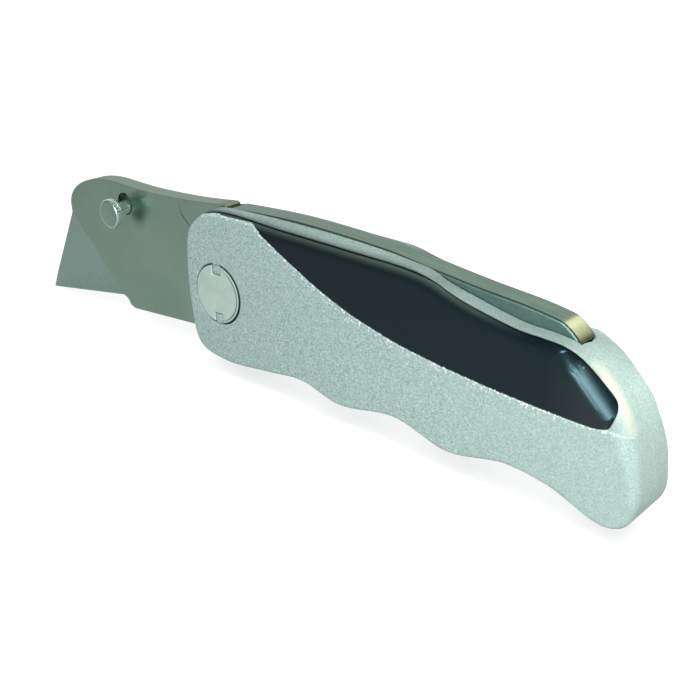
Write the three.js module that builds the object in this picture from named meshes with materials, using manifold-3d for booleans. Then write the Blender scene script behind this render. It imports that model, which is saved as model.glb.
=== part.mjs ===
// A folding lock-back utility knife, shown open.
//
// Millimetres. X runs along the handle from the pivot to the butt, so the blade points to -X.
// Z points up to the spine, and Y runs across the thickness: the near side faces -Y, the far side +Y.
// The pieces are modelled about the knife's middle plane, with the pivot's axis on X = Z = 0, and the
// finished group is moved so that the origin is the centre of the pivot bolt's near face.

import * as THREE from "three";
import { mergeVertices } from "three/addons/utils/BufferGeometryUtils.js";
import Module from "manifold-3d";

const wasm = await Module();
wasm.setup();

// ---------------------------------------------------------------- clearances
const fitGap = 0.15; // between pieces that are assembled tight
const runningGap = 0.3; // between pieces that slide past each other
const boreGap = 0.1; // round a pin in its bore

// ---------------------------------------------------------------- handle
const handleThickness = 11.8;
const frontReach = 9.1; // pivot to the front edge
const spineHeight = 18.8; // pivot to the top of the spine
const bellyDepth = 14.2; // pivot to the lowest point of the chin
const firstGroove = 23.8; // pivot to the deepest point of the first finger groove
const grooveCount = 3;
const grooveDepth = 2.9; // measured up from the chin
const knuckleDepth = 0.9; // the ridges between the grooves, measured up from the chin
const buttDepth = 26.4; // the folded blade's point to the butt's end
const buttLength = 23.3; // last groove to the butt's end
const thumbDip = 4.9; // how far the spine drops where the thumb reaches the lock bar
const edgeRound = 0.6; // on the castings' outer edges
const panelRise = 0.4; // the lower panel stands this far above the rim
const inlayDepth = 1.5; // pocket for the inlay, below the rim
const inlayRound = 0.9; // on the inlay's edge along the rim
const inlayFront = 8.5; // pivot to the inlay's front tip
const rimWidth = 1.5; // spine to the inlay, along the front half
const rearRimWidth = 0.6; // spine to the inlay, behind the thumb dip
const seamGap = 0.2; // between the two castings at the butt
const pinSkin = 0.4; // casting left between a cross pin and the inlay's pocket

// ---------------------------------------------------------------- pivot
const pivotRadius = 3.0; // the bolt's barrel
const pivotHeadRadius = 6.2;
const pivotHeadHeight = 1.4;
const pivotScrewRadius = 1.9;
const socketRadius = 1.5; // hexagon sockets, across the corners
const keyWidth = 2.0; // casting keys that sit in the head's two notches
const keyDepth = 1.9;
const keyTurn = 4; // degrees that the keys lean from the vertical
const washerRadius = 5.4;
const washerThickness = 0.3;
const washerGap = 0.1;

// ---------------------------------------------------------------- blade
const bladeLength = 61;
const bladeHeight = 19;
const bladeThickness = 0.6;
const bladeEndRun = 14; // how far each slanted end runs along the blade
const bevelHeight = 3.2; // the ground bevel along the cutting edge
const edgeThickness = 0.08;
const bladeNotchPitch = 10;
const bladeNotchWidth = 2.8;
const bladeNotchDepth = 2.7;
const bladeRear = 5.2; // pivot to the blade's rear corner, along X
const tipDrop = 18; // pivot to the blade's point, down
const bladeTilt = 11.3; // degrees between the cutting edge and X

// ---------------------------------------------------------------- blade carrier
const foldTravel = 167; // degrees from open to folded
const carrierThickness = 4.0;
const plateThickness = 1.55; // each side of the blade's slot
const noseSetback = 12.2; // blade's point to the front of the nose, along X
const noseLength = 17;
const noseDrop = 8.5;
const carrierRise = 5.05; // blade's rear top corner to the carrier's top edge
const tangDrop = 1.3; // spine to the top corner that meets the lock bar
const tangGap = 1.0; // lock bar's underside to the round that passes below it
const tangEnd = 6.6; // pivot to the lower edge's rear end
const bladeShow = 29.8; // blade's point to where the plates reach the cutting edge
const railDrop = 2.0; // how far the plates then reach below the cutting edge
const railSlope = 6.5; // degrees between the lower edge and X
const foldThickness = 2.0; // the solid strip along the carrier's top
const slotPlay = 0.4; // round the blade inside its slot
const stopWidth = 3.0; // the stop strip behind the blade's rear end
const tabOffset = 7.3; // from the blade's rear end to the slit beside the sprung tab
const tabLength = 4.8;
const tabSlitWidth = 0.3;

// ---------------------------------------------------------------- release button
const buttonSetback = 1.2; // the blade's rear notch to the button's axis, along the blade
const buttonRise = 2.0; // the blade's back to the button's axis
const buttonShaftRadius = 1.5;
const buttonSlotWidth = 4.6; // the oversize hole in the near plate
const buttonSlotHeight = 6.0;
const buttonSlotRise = 0.8; // its centre stands above the button's axis
const buttonHeadRadius = 3.4;
const buttonHeadThickness = 1.4;
const buttonStandOff = 3.2; // plate to the underside of the head
const knurlTeeth = 24;
const knurlDepth = 0.22;
const latchRadius = 2.7;
const latchFingerWidth = 2.1;
const leafThickness = 0.25;
const leafWidth = 4.2;
const leafLength = 14.5; // button's axis to the leaf's rivet
const rivetRadius = 0.9;
const rivetHeadRadius = 1.6;
const rivetHeadHeight = 0.12;

// ---------------------------------------------------------------- lock bar
const lockPlay = 0.2; // each side of the lock bar
const lockHeight = 6.3;
const lockProud = 0.1; // above the spine
const lockPinReach = 38; // pivot to the lock bar's pin, along X
const lockPinHeight = 15.4;
const lockPinRadius = 1.5;
const lockTravel = 4; // degrees
const notchWidth = 2.2; // the V where the carrier and the lock bar meet
const notchDepth = 1.3;
const lockFaceReach = 1.0; // pivot to the carrier's lock face
const lockGap = 0.4; // between the lock face and the bar's nose
const lockNoseGap = 0.5; // between the bar's nose and the round below it
const tailBevel = 4; // length of the slanted facet under the thumb
const tailSetback = 14.4; // butt's end to the lock bar's rear tip
const springCoilRadius = 1.5; // to the middle of the wire
const springWireRadius = 0.25;
const springTurns = 6;
const springPocketDepth = 4;
const springSetback = 5.5; // lock bar's rear tip to the spring's axis
const stopPinRadius = 1.3;
const stopPinReach = 17.5; // pivot to the stop pin, along X

// ---------------------------------------------------------------- screws
const screwRadius = 1.25;
const screwHeadRadius = 2.5;
const screwHeadHeight = 1.5;
const screwSocketDepth = 0.9;
const threadDepth = 1.4; // casting left outside a blind thread

// ---------------------------------------------------------------- derived sizes and places
const half = handleThickness / 2;
const carrierHalf = carrierThickness / 2;
const slotHalf = carrierHalf - plateThickness;
const wallInner = carrierHalf + washerThickness + 2 * washerGap;
const rimLevel = half - panelRise;
const pocketFloor = rimLevel - inlayDepth;
const pinReach = pocketFloor - pinSkin;
const pivotHeadLow = half - pivotHeadHeight;

const tipReach = bladeRear + bladeLength * Math.cos(radians(bladeTilt));
const swingRadius = Math.hypot(tipReach, tipDrop);
const buttReach = swingRadius + buttDepth;
const lastGroove = buttReach - buttLength;
const groovePitch = (lastGroove - firstGroove) / (grooveCount - 1);

const noseReach = tipReach - noseSetback;
const stepReach = tipReach - bladeShow;
const carrierTop = onBlade(bladeLength - bladeEndRun, bladeHeight).y + carrierRise;
const latchedNotch = (bladeLength + bladeNotchPitch) / 2;
const button = onBlade(latchedNotch + buttonSetback, bladeHeight + buttonRise);
const latchHalf = slotHalf - fitGap;
const leafLow = carrierHalf + 0.08;
const leafRivet = [button.x + leafLength, button.y + 1.2];

const lockHalf = wallInner - lockPlay;
const lockTop = spineHeight + lockProud;
const lockUnderside = lockTop - lockHeight;
const tangTop = spineHeight - tangDrop;
const tangRadius = lockUnderside - tangGap;
const lockEnd = buttReach - tailSetback;
const slotEnd = lockEnd + 1.2; // where the castings close behind the lock bar
const tailDrop = (lockEnd - lockPinReach) * Math.sin(radians(lockTravel));
const blockTop = lockUnderside - tailDrop - runningGap;
const springReach = lockEnd - springSetback;
const springFloor = blockTop - springPocketDepth;
const buttScrewPlaces = [
  [buttReach - 15.5, -1.5],
  [buttReach - 7.5, -8.2],
];

const sides = { fine: 48, pin: 24, wire: 8 };

// ---------------------------------------------------------------- helpers
function radians(degrees) {
  return THREE.MathUtils.degToRad(degrees);
}

function point(x, z) {
  return new THREE.Vector2(x, z);
}

// A closed mesh as a solid that can be joined and cut.
function solid(geometry) {
  const bare = geometry.clone();
  bare.deleteAttribute("normal");
  bare.deleteAttribute("uv");
  const merged = mergeVertices(bare, 1e-4);
  const mesh = new wasm.Mesh({
    numProp: 3,
    vertProperties: new Float32Array(merged.attributes.position.array),
    triVerts: new Uint32Array(merged.index.array),
  });
  return new wasm.Manifold(mesh);
}

// A solid's surface, for three.js.
function surface(made) {
  const mesh = made.getMesh();
  const geometry = new THREE.BufferGeometry();
  geometry.setAttribute("position", new THREE.BufferAttribute(mesh.vertProperties, 3));
  geometry.setIndex(new THREE.BufferAttribute(mesh.triVerts, 1));
  geometry.computeVertexNormals();
  return geometry;
}

// A flat outline in X and Z, made solid between two values of Y.
function slab(outline, low, high, bevel = 0) {
  const geometry = new THREE.ExtrudeGeometry(new THREE.Shape(outline), {
    depth: high - low - 2 * bevel,
    bevelEnabled: bevel > 0,
    bevelSize: bevel,
    bevelThickness: bevel,
    bevelOffset: -bevel,
    bevelSegments: 3,
    steps: 1,
  });
  geometry.rotateX(Math.PI / 2);
  geometry.translate(0, high - bevel, 0);
  return solid(geometry);
}

// A rectangle in X and Z, made solid between two values of Y.
function block(left, right, bottom, top, low, high) {
  const outline = [point(left, bottom), point(right, bottom), point(right, top), point(left, top)];
  return slab(outline, low, high);
}

// A round bar along Y.
function rod(radius, low, high, x, z, segments = sides.pin) {
  const geometry = new THREE.CylinderGeometry(radius, radius, high - low, segments);
  geometry.translate(x, (low + high) / 2, z);
  return solid(geometry);
}

// A body turned about an axis along Y: the profile holds pairs of radius and Y.
function turned(profile, x, z, segments = sides.fine) {
  const points = profile.map(([radius, y]) => point(radius, y));
  const geometry = new THREE.LatheGeometry(points, segments);
  geometry.translate(x, 0, z);
  return solid(geometry);
}

// Points along a smooth curve through a few chosen ones.
function smooth(places, count) {
  const curve = new THREE.SplineCurve(places.map(([x, z]) => point(x, z)));
  return curve.getPoints(count);
}

// Points along an arc about a centre, from one angle to another, in degrees.
function arc(x, z, radius, from, to, count) {
  const points = [];
  for (let i = 0; i <= count; i++) {
    const angle = radians(from + ((to - from) * i) / count);
    points.push(point(x + radius * Math.cos(angle), z + radius * Math.sin(angle)));
  }
  return points;
}

// A line of points moved to its left by a distance.
function shifted(line, distance) {
  return line.map((here, i) => {
    const before = line[Math.max(i - 1, 0)];
    const after = line[Math.min(i + 1, line.length - 1)];
    const along = after.clone().sub(before).normalize();
    return point(here.x - along.y * distance, here.y + along.x * distance);
  });
}

// A point turned about the pivot by an angle in degrees, from +X towards +Z.
function turnedPoint(x, z, degrees) {
  return point(x, z).rotateAround(point(0, 0), radians(degrees));
}

// The same solid on the other side of the middle plane.
function mirrored(made) {
  return made.scale([1, -1, 1]);
}

// ---------------------------------------------------------------- handle outlines
// The belly's waves: chin, then a groove and a ridge in turn, and the butt's low corner.
function bellyPlaces() {
  const places = [
    [-frontReach + 0.6, -4.2],
    [-frontReach + 3.2, 1.4 - bellyDepth],
    [1.6, -bellyDepth],
    [firstGroove - 10, 1.4 - bellyDepth],
  ];
  for (let i = 0; i < grooveCount; i++) {
    const groove = firstGroove + i * groovePitch;
    places.push([groove, grooveDepth - bellyDepth]);
    if (i < grooveCount - 1) places.push([groove + 0.46 * groovePitch, knuckleDepth - bellyDepth]);
  }
  places.push([buttReach - 6.6, -0.5 - bellyDepth]);
  return places;
}

// Up the butt, forward along the spine with its thumb dip, and down the front edge.
function upperPlaces() {
  const dipped = spineHeight - thumbDip;
  return [
    [buttReach - 1.2, -11.9],
    [buttReach - 0.1, -7.4],
    [buttReach - 2.7, 2.4],
    [buttReach - 8.8, 10.4],
    [buttReach - 14.6, dipped - 0.5],
    [buttReach - 23.4, dipped],
    [buttReach - 34, dipped + 1.5],
    [buttReach - 43, dipped + 3.7],
    [buttReach - 54, spineHeight - 0.2],
    [buttReach - 66, spineHeight],
    [9, spineHeight - 0.7],
    [-2.6, spineHeight - 1.9],
    [-frontReach + 2.5, spineHeight - 4.2],
    [-frontReach + 0.4, spineHeight - 8.2],
    [-frontReach, spineHeight - 12.4],
  ];
}

function handleOutline() {
  const places = [...bellyPlaces(), ...upperPlaces()];
  const corners = places.map(([x, z]) => new THREE.Vector3(x, z, 0));
  const curve = new THREE.CatmullRomCurve3(corners, true);
  return curve.getPoints(120).slice(0, -1).map((p) => point(p.x, p.y));
}

// The sweep from the front of the spine down to the butt, which parts the panel from the inlay.
function panelEdge() {
  return smooth(
    [
      [-3.4, spineHeight - 2.8],
      [3.4, spineHeight - 2.0],
      [9.4, spineHeight - 1.9],
      [13.6, 14.7],
      [20.6, 11.4],
      [27.6, 8.4],
      [37, 5.4],
      [49, 3.2],
      [64, 1.9],
      [buttReach - 9.6, 1.5],
      [buttReach - 5.5, 1.3],
    ],
    44,
  );
}

// Everything above the panel's edge, at a distance from it.
function abovePanel(gap) {
  const edge = shifted(panelEdge(), gap);
  const first = edge[0];
  const last = edge[edge.length - 1];
  return [
    ...edge,
    point(buttReach + 10, last.y),
    point(buttReach + 10, spineHeight + 20),
    point(-frontReach - 20, spineHeight + 20),
    point(-frontReach - 20, first.y),
  ];
}

// Everything inside the rim that follows the butt and the spine, at a distance from it.
function withinRim(gap) {
  const dipped = spineHeight - thumbDip - rearRimWidth;
  const rim = smooth(
    [
      [buttReach - 8.2, -1.5],
      [buttReach - 6.2, 2.4],
      [buttReach - 5.6, 5.2],
      [buttReach - 6.6, 7.4],
      [buttReach - 9.4, 10.2],
      [buttReach - 14.9, dipped - 0.4],
      [buttReach - 23.4, dipped],
      [buttReach - 34, dipped + 1.4],
      [buttReach - 43, dipped + 3.2],
      [buttReach - 54, spineHeight - 0.2 - rimWidth],
      [buttReach - 66, spineHeight - rimWidth],
      [16, spineHeight - rimWidth],
      [inlayFront, spineHeight - rimWidth],
      [0, spineHeight - rimWidth],
    ],
    52,
  );
  return [...shifted(rim, gap), point(0, -1.5)];
}

// ---------------------------------------------------------------- castings
// The solid end behind the blade's swing, where the two castings meet.
function buttBlock() {
  const whole = slab(handleOutline(), seamGap / 2, half - 1);
  const swing = rod(swingRadius + 1, -1, half, 0, 0, 2 * sides.fine);
  const lockRoom = block(lockPinReach, slotEnd, blockTop, spineHeight + 10, -1, half);
  const front = block(-40, lockPinReach + 6, -40, 40, -1, half);
  const pocket = springPocket();
  return whole.subtract(front).subtract(swing).subtract(lockRoom).subtract(pocket);
}

// A round pocket that opens upwards, for the spring under the lock bar's tail.
function springPocket() {
  const radius = springCoilRadius + springWireRadius + runningGap;
  const geometry = new THREE.CylinderGeometry(radius, radius, springPocketDepth + 1, sides.pin);
  geometry.rotateX(Math.PI / 2);
  geometry.translate(springReach, 0, springFloor + (springPocketDepth + 1) / 2);
  return solid(geometry);
}

// Two keys at the pivot's seat, which stop the bolt and its screw from turning.
function pivotKeys() {
  const inner = pivotHeadRadius - keyDepth;
  return keyPair(inner, keyWidth / 2, pivotHeadLow - 1, half);
}

function keyPair(inner, halfWidth, low, high) {
  const outer = pivotHeadRadius + 1;
  const keys = [90, 270].map((angle) => {
    const key = block(inner, outer, -halfWidth, halfWidth, low, high);
    return key.rotate([0, -(angle + keyTurn), 0]);
  });
  return keys[0].add(keys[1]);
}

// Holes for the pins that reach from one casting to the other.
function pinHoles() {
  const lockPinHole = rod(lockPinRadius + boreGap, 0, pinReach, lockPinReach, lockPinHeight);
  return lockPinHole.add(rod(stopPinRadius + boreGap, 0, pinReach, ...stopPinPlace()));
}

// One casting, made on the far side: wall, butt block, relief, pocket and the pivot's seat.
function castingBody() {
  const wall = slab(handleOutline(), 1, half, edgeRound);
  const middle = block(-60, 160, -60, 60, -1, wallInner);
  const relief = slab(abovePanel(0), rimLevel, half + 1);
  const seatRadius = pivotHeadRadius + fitGap;
  const seat = rod(seatRadius, pivotHeadLow - fitGap, half + 1, 0, 0, sides.fine);
  const bore = rod(pivotRadius + boreGap, 0, half + 1, 0, 0, sides.fine);
  return wall
    .subtract(middle)
    .add(buttBlock())
    .subtract(relief)
    .subtract(inlaySpace(0, pocketFloor, half + 1, 0))
    .subtract(seat)
    .add(pivotKeys())
    .subtract(bore)
    .subtract(pinHoles());
}

// The space between the panel's edge and the rim, behind the inlay's front tip.
function inlaySpace(gap, low, high, rounding) {
  const lower = slab(abovePanel(gap), low, high);
  const upper = slab(withinRim(gap), low, high, rounding);
  const front = block(-60, inlayFront + gap, -60, 60, low - 1, high + 1);
  return lower.intersect(upper).subtract(front);
}

// The near casting holds the screws' blind threads.
function nearCasting() {
  let body = castingBody();
  for (const place of buttScrewPlaces) {
    body = body.subtract(rod(screwRadius + boreGap, -1, half - threadDepth, ...place));
  }
  return mirrored(body);
}

// The far casting holds the screws' heads.
function farCasting() {
  const seatLow = half - screwHeadHeight - 2 * fitGap;
  let body = castingBody();
  for (const place of buttScrewPlaces) {
    body = body.subtract(rod(screwRadius + boreGap, -1, half, ...place));
    body = body.subtract(rod(screwHeadRadius + fitGap, seatLow, half + 1, ...place, sides.fine));
  }
  return body;
}

// The glossy inlay, rounded along the rim.
function inlay() {
  return inlaySpace(fitGap, pocketFloor + fitGap, half, inlayRound);
}

// ---------------------------------------------------------------- pivot pieces
function keyNotches() {
  const inner = pivotHeadRadius - keyDepth - fitGap;
  return keyPair(inner, keyWidth / 2 + fitGap, pivotHeadLow - 1, half + 1);
}

// A notched disc on a shank, made on the far side.
function pivotDisc(shankRadius, shankEnd) {
  const softened = 0.2;
  const body = turned(
    [
      [0, shankEnd],
      [shankRadius, shankEnd],
      [shankRadius, pivotHeadLow],
      [pivotHeadRadius, pivotHeadLow],
      [pivotHeadRadius, half - softened],
      [pivotHeadRadius - softened, half],
      [0, half],
    ],
    0,
    0,
  );
  return body.subtract(keyNotches());
}

// The near disc carries the barrel that crosses the handle, bored for the screw.
function pivotBolt() {
  const barrelEnd = fitGap - pivotHeadLow;
  const bore = rod(pivotScrewRadius + boreGap, barrelEnd - 1, 1, 0, 0);
  return mirrored(pivotDisc(pivotRadius, barrelEnd).subtract(bore));
}

// The far disc closes the pivot, with a hexagon socket.
function pivotScrew() {
  const socket = rod(socketRadius, half - pivotHeadHeight, half + 1, 0, 0, 6);
  return pivotDisc(pivotScrewRadius, 0).subtract(socket);
}

function washer() {
  const low = carrierHalf + washerGap;
  const disc = rod(washerRadius, low, low + washerThickness, 0, 0, sides.fine);
  return disc.subtract(rod(pivotRadius + boreGap, 0, half, 0, 0, sides.fine));
}

// ---------------------------------------------------------------- blade
// A point given along and above the blade's cutting edge, measured from its tip.
function onBlade(along, up) {
  const tilt = radians(bladeTilt);
  return point(
    -tipReach + along * Math.cos(tilt) - up * Math.sin(tilt),
    -tipDrop + along * Math.sin(tilt) + up * Math.cos(tilt),
  );
}

// A place offset square from the blade's slanted rear end, given how far down that end it is.
function behindBlade(down, offset) {
  const top = onBlade(bladeLength - bladeEndRun, bladeHeight);
  const along = onBlade(bladeLength, 0).sub(top).normalize();
  return point(top.x + along.x * down - along.y * offset, top.y + along.y * down + along.x * offset);
}

// The strip the blade is cut from: flat sides and a bevel ground from both sides to the edge.
function bladeStrip() {
  const flat = bladeThickness / 2;
  const edge = edgeThickness / 2;
  const overrun = 5;
  const section = new THREE.Shape([
    point(-edge, 0),
    point(edge, 0),
    point(flat, bevelHeight),
    point(flat, bladeHeight),
    point(-flat, bladeHeight),
    point(-flat, bevelHeight),
  ]);
  const depth = bladeLength + 2 * overrun;
  const geometry = new THREE.ExtrudeGeometry(section, { depth, bevelEnabled: false });
  const start = onBlade(-overrun, 0);
  const along = onBlade(1, 0).sub(onBlade(0, 0));
  const across = new THREE.Vector3(0, 1, 0);
  const up = new THREE.Vector3(-along.y, 0, along.x);
  const frame = new THREE.Matrix4().makeBasis(across, up, new THREE.Vector3(along.x, 0, along.y));
  geometry.applyMatrix4(frame.setPosition(start.x, 0, start.y));
  return solid(geometry);
}

// A two-ended trapezoid blade with two notches in its back.
function utilityBlade() {
  const corners = [
    onBlade(0, 0),
    onBlade(bladeLength, 0),
    onBlade(bladeLength - bladeEndRun, bladeHeight),
    onBlade(bladeEndRun, bladeHeight),
  ];
  let blade = bladeStrip().intersect(slab(corners, -1, 1));
  for (const along of [latchedNotch, bladeLength - latchedNotch]) {
    blade = blade.subtract(slab(bladeNotch(along), -1, 1));
  }
  return blade;
}

function bladeNotch(along) {
  const reach = bladeNotchWidth / 2;
  const floor = bladeHeight - bladeNotchDepth;
  return [
    onBlade(along - reach, floor),
    onBlade(along + reach, floor),
    onBlade(along + reach, bladeHeight + 1),
    onBlade(along - reach, bladeHeight + 1),
  ];
}

// ---------------------------------------------------------------- carrier
// Height of the cutting edge at a place along X.
function cutAt(x) {
  return -tipDrop + (x + tipReach) * Math.tan(radians(bladeTilt));
}

// The carrier's lower edge: its front end below the blade, and its rear end at the tang.
function railEnds() {
  const front = point(-stepReach + 3.6, cutAt(-stepReach) - railDrop + 0.5);
  const rear = point(-tangEnd, front.y + (-tangEnd - front.x) * Math.tan(radians(railSlope)));
  return { front, rear };
}

// The carrier's side: nose, top edge, lock face, tang, lower edge, step and slanted front.
function carrierOutline() {
  const nose = new THREE.EllipseCurve(
    -noseReach + noseLength,
    carrierTop - noseDrop,
    noseLength,
    noseDrop,
    Math.PI,
    Math.PI / 2,
    true,
  );
  const top = smooth(
    [
      [-noseReach + noseLength, carrierTop],
      [-noseReach + noseLength + 9.8, carrierTop + 0.1],
      [-13, carrierTop + 1.1],
      [-notchWidth + 0.2, tangTop],
    ],
    12,
  );
  const shoulder = [
    point(-lockFaceReach, tangTop - notchDepth),
    point(-lockFaceReach, tangRadius + 0.1),
  ];
  const { front, rear } = railEnds();
  const lockAngle = THREE.MathUtils.radToDeg(Math.atan2(tangRadius, -lockFaceReach));
  const tang = arc(0, 0, tangRadius, lockAngle, -114, 40);
  const stepTop = cutAt(-stepReach) + 0.7;
  const step = smooth(
    [
      [front.x, front.y],
      [-stepReach + 2.2, front.y + 0.5],
      [-stepReach + 1.3, stepTop - 0.6],
      [-stepReach, stepTop],
    ],
    8,
  );
  const slantTop = point(-noseReach + 0.2, carrierTop - noseDrop - 2.2);
  const outline = [...nose.getPoints(14), ...top.slice(1), ...shoulder, ...tang, rear, ...step, slantTop];
  return outline.reverse();
}

// The slot between the plates: open at the front, roofed by the fold, floored by the rail.
function slotOutline() {
  const roof = carrierTop - foldThickness;
  const endLength = Math.hypot(bladeEndRun, bladeHeight);
  return [
    onBlade(-12, -slotPlay),
    onBlade(bladeLength + slotPlay, -slotPlay),
    behindBlade(endLength, stopWidth + slotPlay),
    behindBlade(0, stopWidth + slotPlay),
    point(button.x + 9, roof),
    point(button.x - 8, roof),
    onBlade(latchedNotch - 10.5, bladeHeight + slotPlay),
    onBlade(-12, bladeHeight + slotPlay),
  ];
}

function bladeCarrier() {
  const body = slab(carrierOutline(), -carrierHalf, carrierHalf, 0.12);
  const slot = slab(slotOutline(), -slotHalf, slotHalf);
  const bore = rod(pivotRadius + boreGap, -5, 5, 0, 0, sides.fine);
  const rivetHole = rod(rivetRadius + boreGap, 0, 5, ...leafRivet);
  return body
    .subtract(slot)
    .subtract(bore)
    .subtract(slab(buttonSlotOutline(), -5, 0))
    .subtract(latchRing(runningGap, 0, 5))
    .subtract(latchFinger(runningGap, 0, 5))
    .subtract(rivetHole)
    .subtract(slab(tabSlitOutline(), -5, 0));
}

// The oversize hole in the near plate, taller than it is wide.
function buttonSlotOutline() {
  const radius = buttonSlotWidth / 2;
  const rise = (buttonSlotHeight - buttonSlotWidth) / 2;
  const middle = button.y + buttonSlotRise;
  return [
    ...arc(button.x, middle + rise, radius, 0, 180, 16),
    ...arc(button.x, middle - rise, radius, 180, 360, 16),
  ];
}

// The slit that frees a sprung tab in the near plate, behind the blade.
function tabSlitOutline() {
  const low = tabOffset;
  const high = tabOffset + tabSlitWidth;
  const start = 2.2;
  return [
    behindBlade(start, low),
    behindBlade(start + tabLength, low),
    behindBlade(start + tabLength, high),
    behindBlade(start, high),
  ];
}

// A strip in the slot that stops the blade's rear end.
function bladeStop() {
  const endLength = Math.hypot(bladeEndRun, bladeHeight);
  const outline = [
    behindBlade(0.5, fitGap),
    behindBlade(endLength * 0.8, fitGap),
    behindBlade(endLength * 0.8, stopWidth),
    behindBlade(0.5, stopWidth),
  ];
  return slab(outline, -slotHalf + boreGap, slotHalf - boreGap);
}

// ---------------------------------------------------------------- release button pieces
// The latch's finger, grown by a clearance: it stands in the blade's rear notch.
function latchFinger(gap, low, high) {
  const reach = latchFingerWidth / 2 + gap;
  const tip = bladeHeight - bladeNotchDepth + runningGap - gap;
  const root = bladeHeight + 2;
  const outline = [
    onBlade(latchedNotch - reach, tip),
    onBlade(latchedNotch + reach, tip),
    onBlade(latchedNotch + reach, root),
    onBlade(latchedNotch - reach, root),
  ];
  return slab(outline, low, high);
}

// The latch's ring round the button's stem, grown by a clearance.
function latchRing(gap, low, high) {
  return rod(latchRadius + gap, low, high, button.x, button.y, sides.fine);
}

// The plate on the button's stem: a ring cut flat above the blade, with its finger.
function latchPlate() {
  const flat = bladeHeight + runningGap;
  const below = [onBlade(0, 0), onBlade(bladeLength, 0), onBlade(bladeLength, flat), onBlade(0, flat)];
  const bore = rod(buttonShaftRadius + boreGap, -5, 5, button.x, button.y);
  return latchRing(0, -latchHalf, latchHalf)
    .subtract(slab(below, -5, 5))
    .add(latchFinger(0, -latchHalf, latchHalf))
    .subtract(bore);
}

// A knurled head on a stem that reaches through both plates.
function releaseButton() {
  const headFar = -carrierHalf - buttonStandOff;
  const points = [];
  for (let i = 0; i < knurlTeeth * 2; i++) {
    const angle = (Math.PI * i) / knurlTeeth;
    const radius = buttonHeadRadius - (i % 2) * knurlDepth;
    points.push(point(button.x + radius * Math.cos(angle), button.y + radius * Math.sin(angle)));
  }
  const head = slab(points, headFar - buttonHeadThickness, headFar, 0.15);
  return head.add(rod(buttonShaftRadius, headFar - 0.5, carrierHalf, button.x, button.y));
}

// The flat spring on the far plate, bearing on the end of the button's stem.
function buttonSpring() {
  const outline = [
    ...arc(button.x, button.y, leafWidth / 2, 90, 270, 12),
    ...arc(...leafRivet, leafWidth / 2, -90, 90, 12),
  ];
  const hole = rod(rivetRadius + boreGap, 0, 5, ...leafRivet);
  return slab(outline, leafLow, leafLow + leafThickness).subtract(hole);
}

function springRivet() {
  const seat = leafLow + leafThickness;
  const shank = rod(rivetRadius, slotHalf + fitGap, seat + rivetHeadHeight, ...leafRivet);
  return shank.add(rod(rivetHeadRadius, seat + 0.02, seat + rivetHeadHeight, ...leafRivet));
}

// ---------------------------------------------------------------- lock pieces
// Nose with its slanted side of the notch, flat underside, and the facet under the thumb.
function lockOutline() {
  const dipped = spineHeight - thumbDip;
  const front = lockGap - lockFaceReach;
  const facetTop = lockEnd - tailBevel;
  const top = smooth(
    [
      [facetTop, dipped + 2.0],
      [facetTop - 7, dipped + 3.0],
      [buttReach - 34, dipped + 3.5],
      [buttReach - 45, spineHeight - 0.3],
      [buttReach - 56, lockTop],
      [18, lockTop - 0.1],
      [front + notchDepth, tangTop - 0.1],
    ],
    30,
  );
  return [
    point(front, tangRadius + lockNoseGap),
    point(5, tangRadius + lockNoseGap),
    point(7, lockUnderside),
    point(lockEnd - 0.6, lockUnderside),
    point(lockEnd, lockUnderside + 0.6),
    ...top,
    point(front, tangTop - notchDepth - 0.1),
  ];
}

function lockBar() {
  const body = slab(lockOutline(), -lockHalf, lockHalf, 0.15);
  return body.subtract(rod(lockPinRadius + boreGap, -5, 5, lockPinReach, lockPinHeight));
}

function crossPin(radius, x, z) {
  const reach = pinReach - fitGap;
  return rod(radius, -reach, reach, x, z);
}

// The stop pin stands just above the carrier's lower edge when the knife is folded.
function stopPinPlace() {
  const { front, rear } = railEnds();
  const a = turnedPoint(front.x, front.y, foldTravel);
  const b = turnedPoint(rear.x, rear.y, foldTravel);
  const slope = (b.y - a.y) / (b.x - a.x);
  const edge = a.y + (stopPinReach - a.x) * slope;
  return [stopPinReach, edge + runningGap + stopPinRadius];
}

// A coil spring that stands in the butt's pocket and lifts the lock bar's tail.
function lockSpring() {
  const low = springFloor + fitGap + springWireRadius;
  const high = lockUnderside - fitGap - springWireRadius;
  const steps = springTurns * 14;
  const places = [];
  for (let i = 0; i <= steps; i++) {
    const angle = (2 * Math.PI * springTurns * i) / steps;
    const x = springReach + springCoilRadius * Math.cos(angle);
    const z = low + ((high - low) * i) / steps;
    places.push(new THREE.Vector3(x, springCoilRadius * Math.sin(angle), z));
  }
  const wire = new THREE.Shape(arc(0, 0, springWireRadius, 0, 360, sides.wire).slice(0, -1));
  const extrudePath = new THREE.CatmullRomCurve3(places);
  return solid(new THREE.ExtrudeGeometry(wire, { steps, extrudePath, bevelEnabled: false }));
}

// ---------------------------------------------------------------- screws
function buttScrew(x, z) {
  const headTop = half - fitGap;
  const headLow = headTop - screwHeadHeight;
  const softened = 0.15;
  const body = turned(
    [
      [0, threadDepth + 2 * fitGap - half],
      [screwRadius, threadDepth + 2 * fitGap - half],
      [screwRadius, headLow],
      [screwHeadRadius, headLow],
      [screwHeadRadius, headTop - softened],
      [screwHeadRadius - softened, headTop],
      [0, headTop],
    ],
    x,
    z,
    sides.pin,
  );
  return body.subtract(rod(socketRadius, headTop - screwSocketDepth, headTop + 1, x, z, 6));
}

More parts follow.
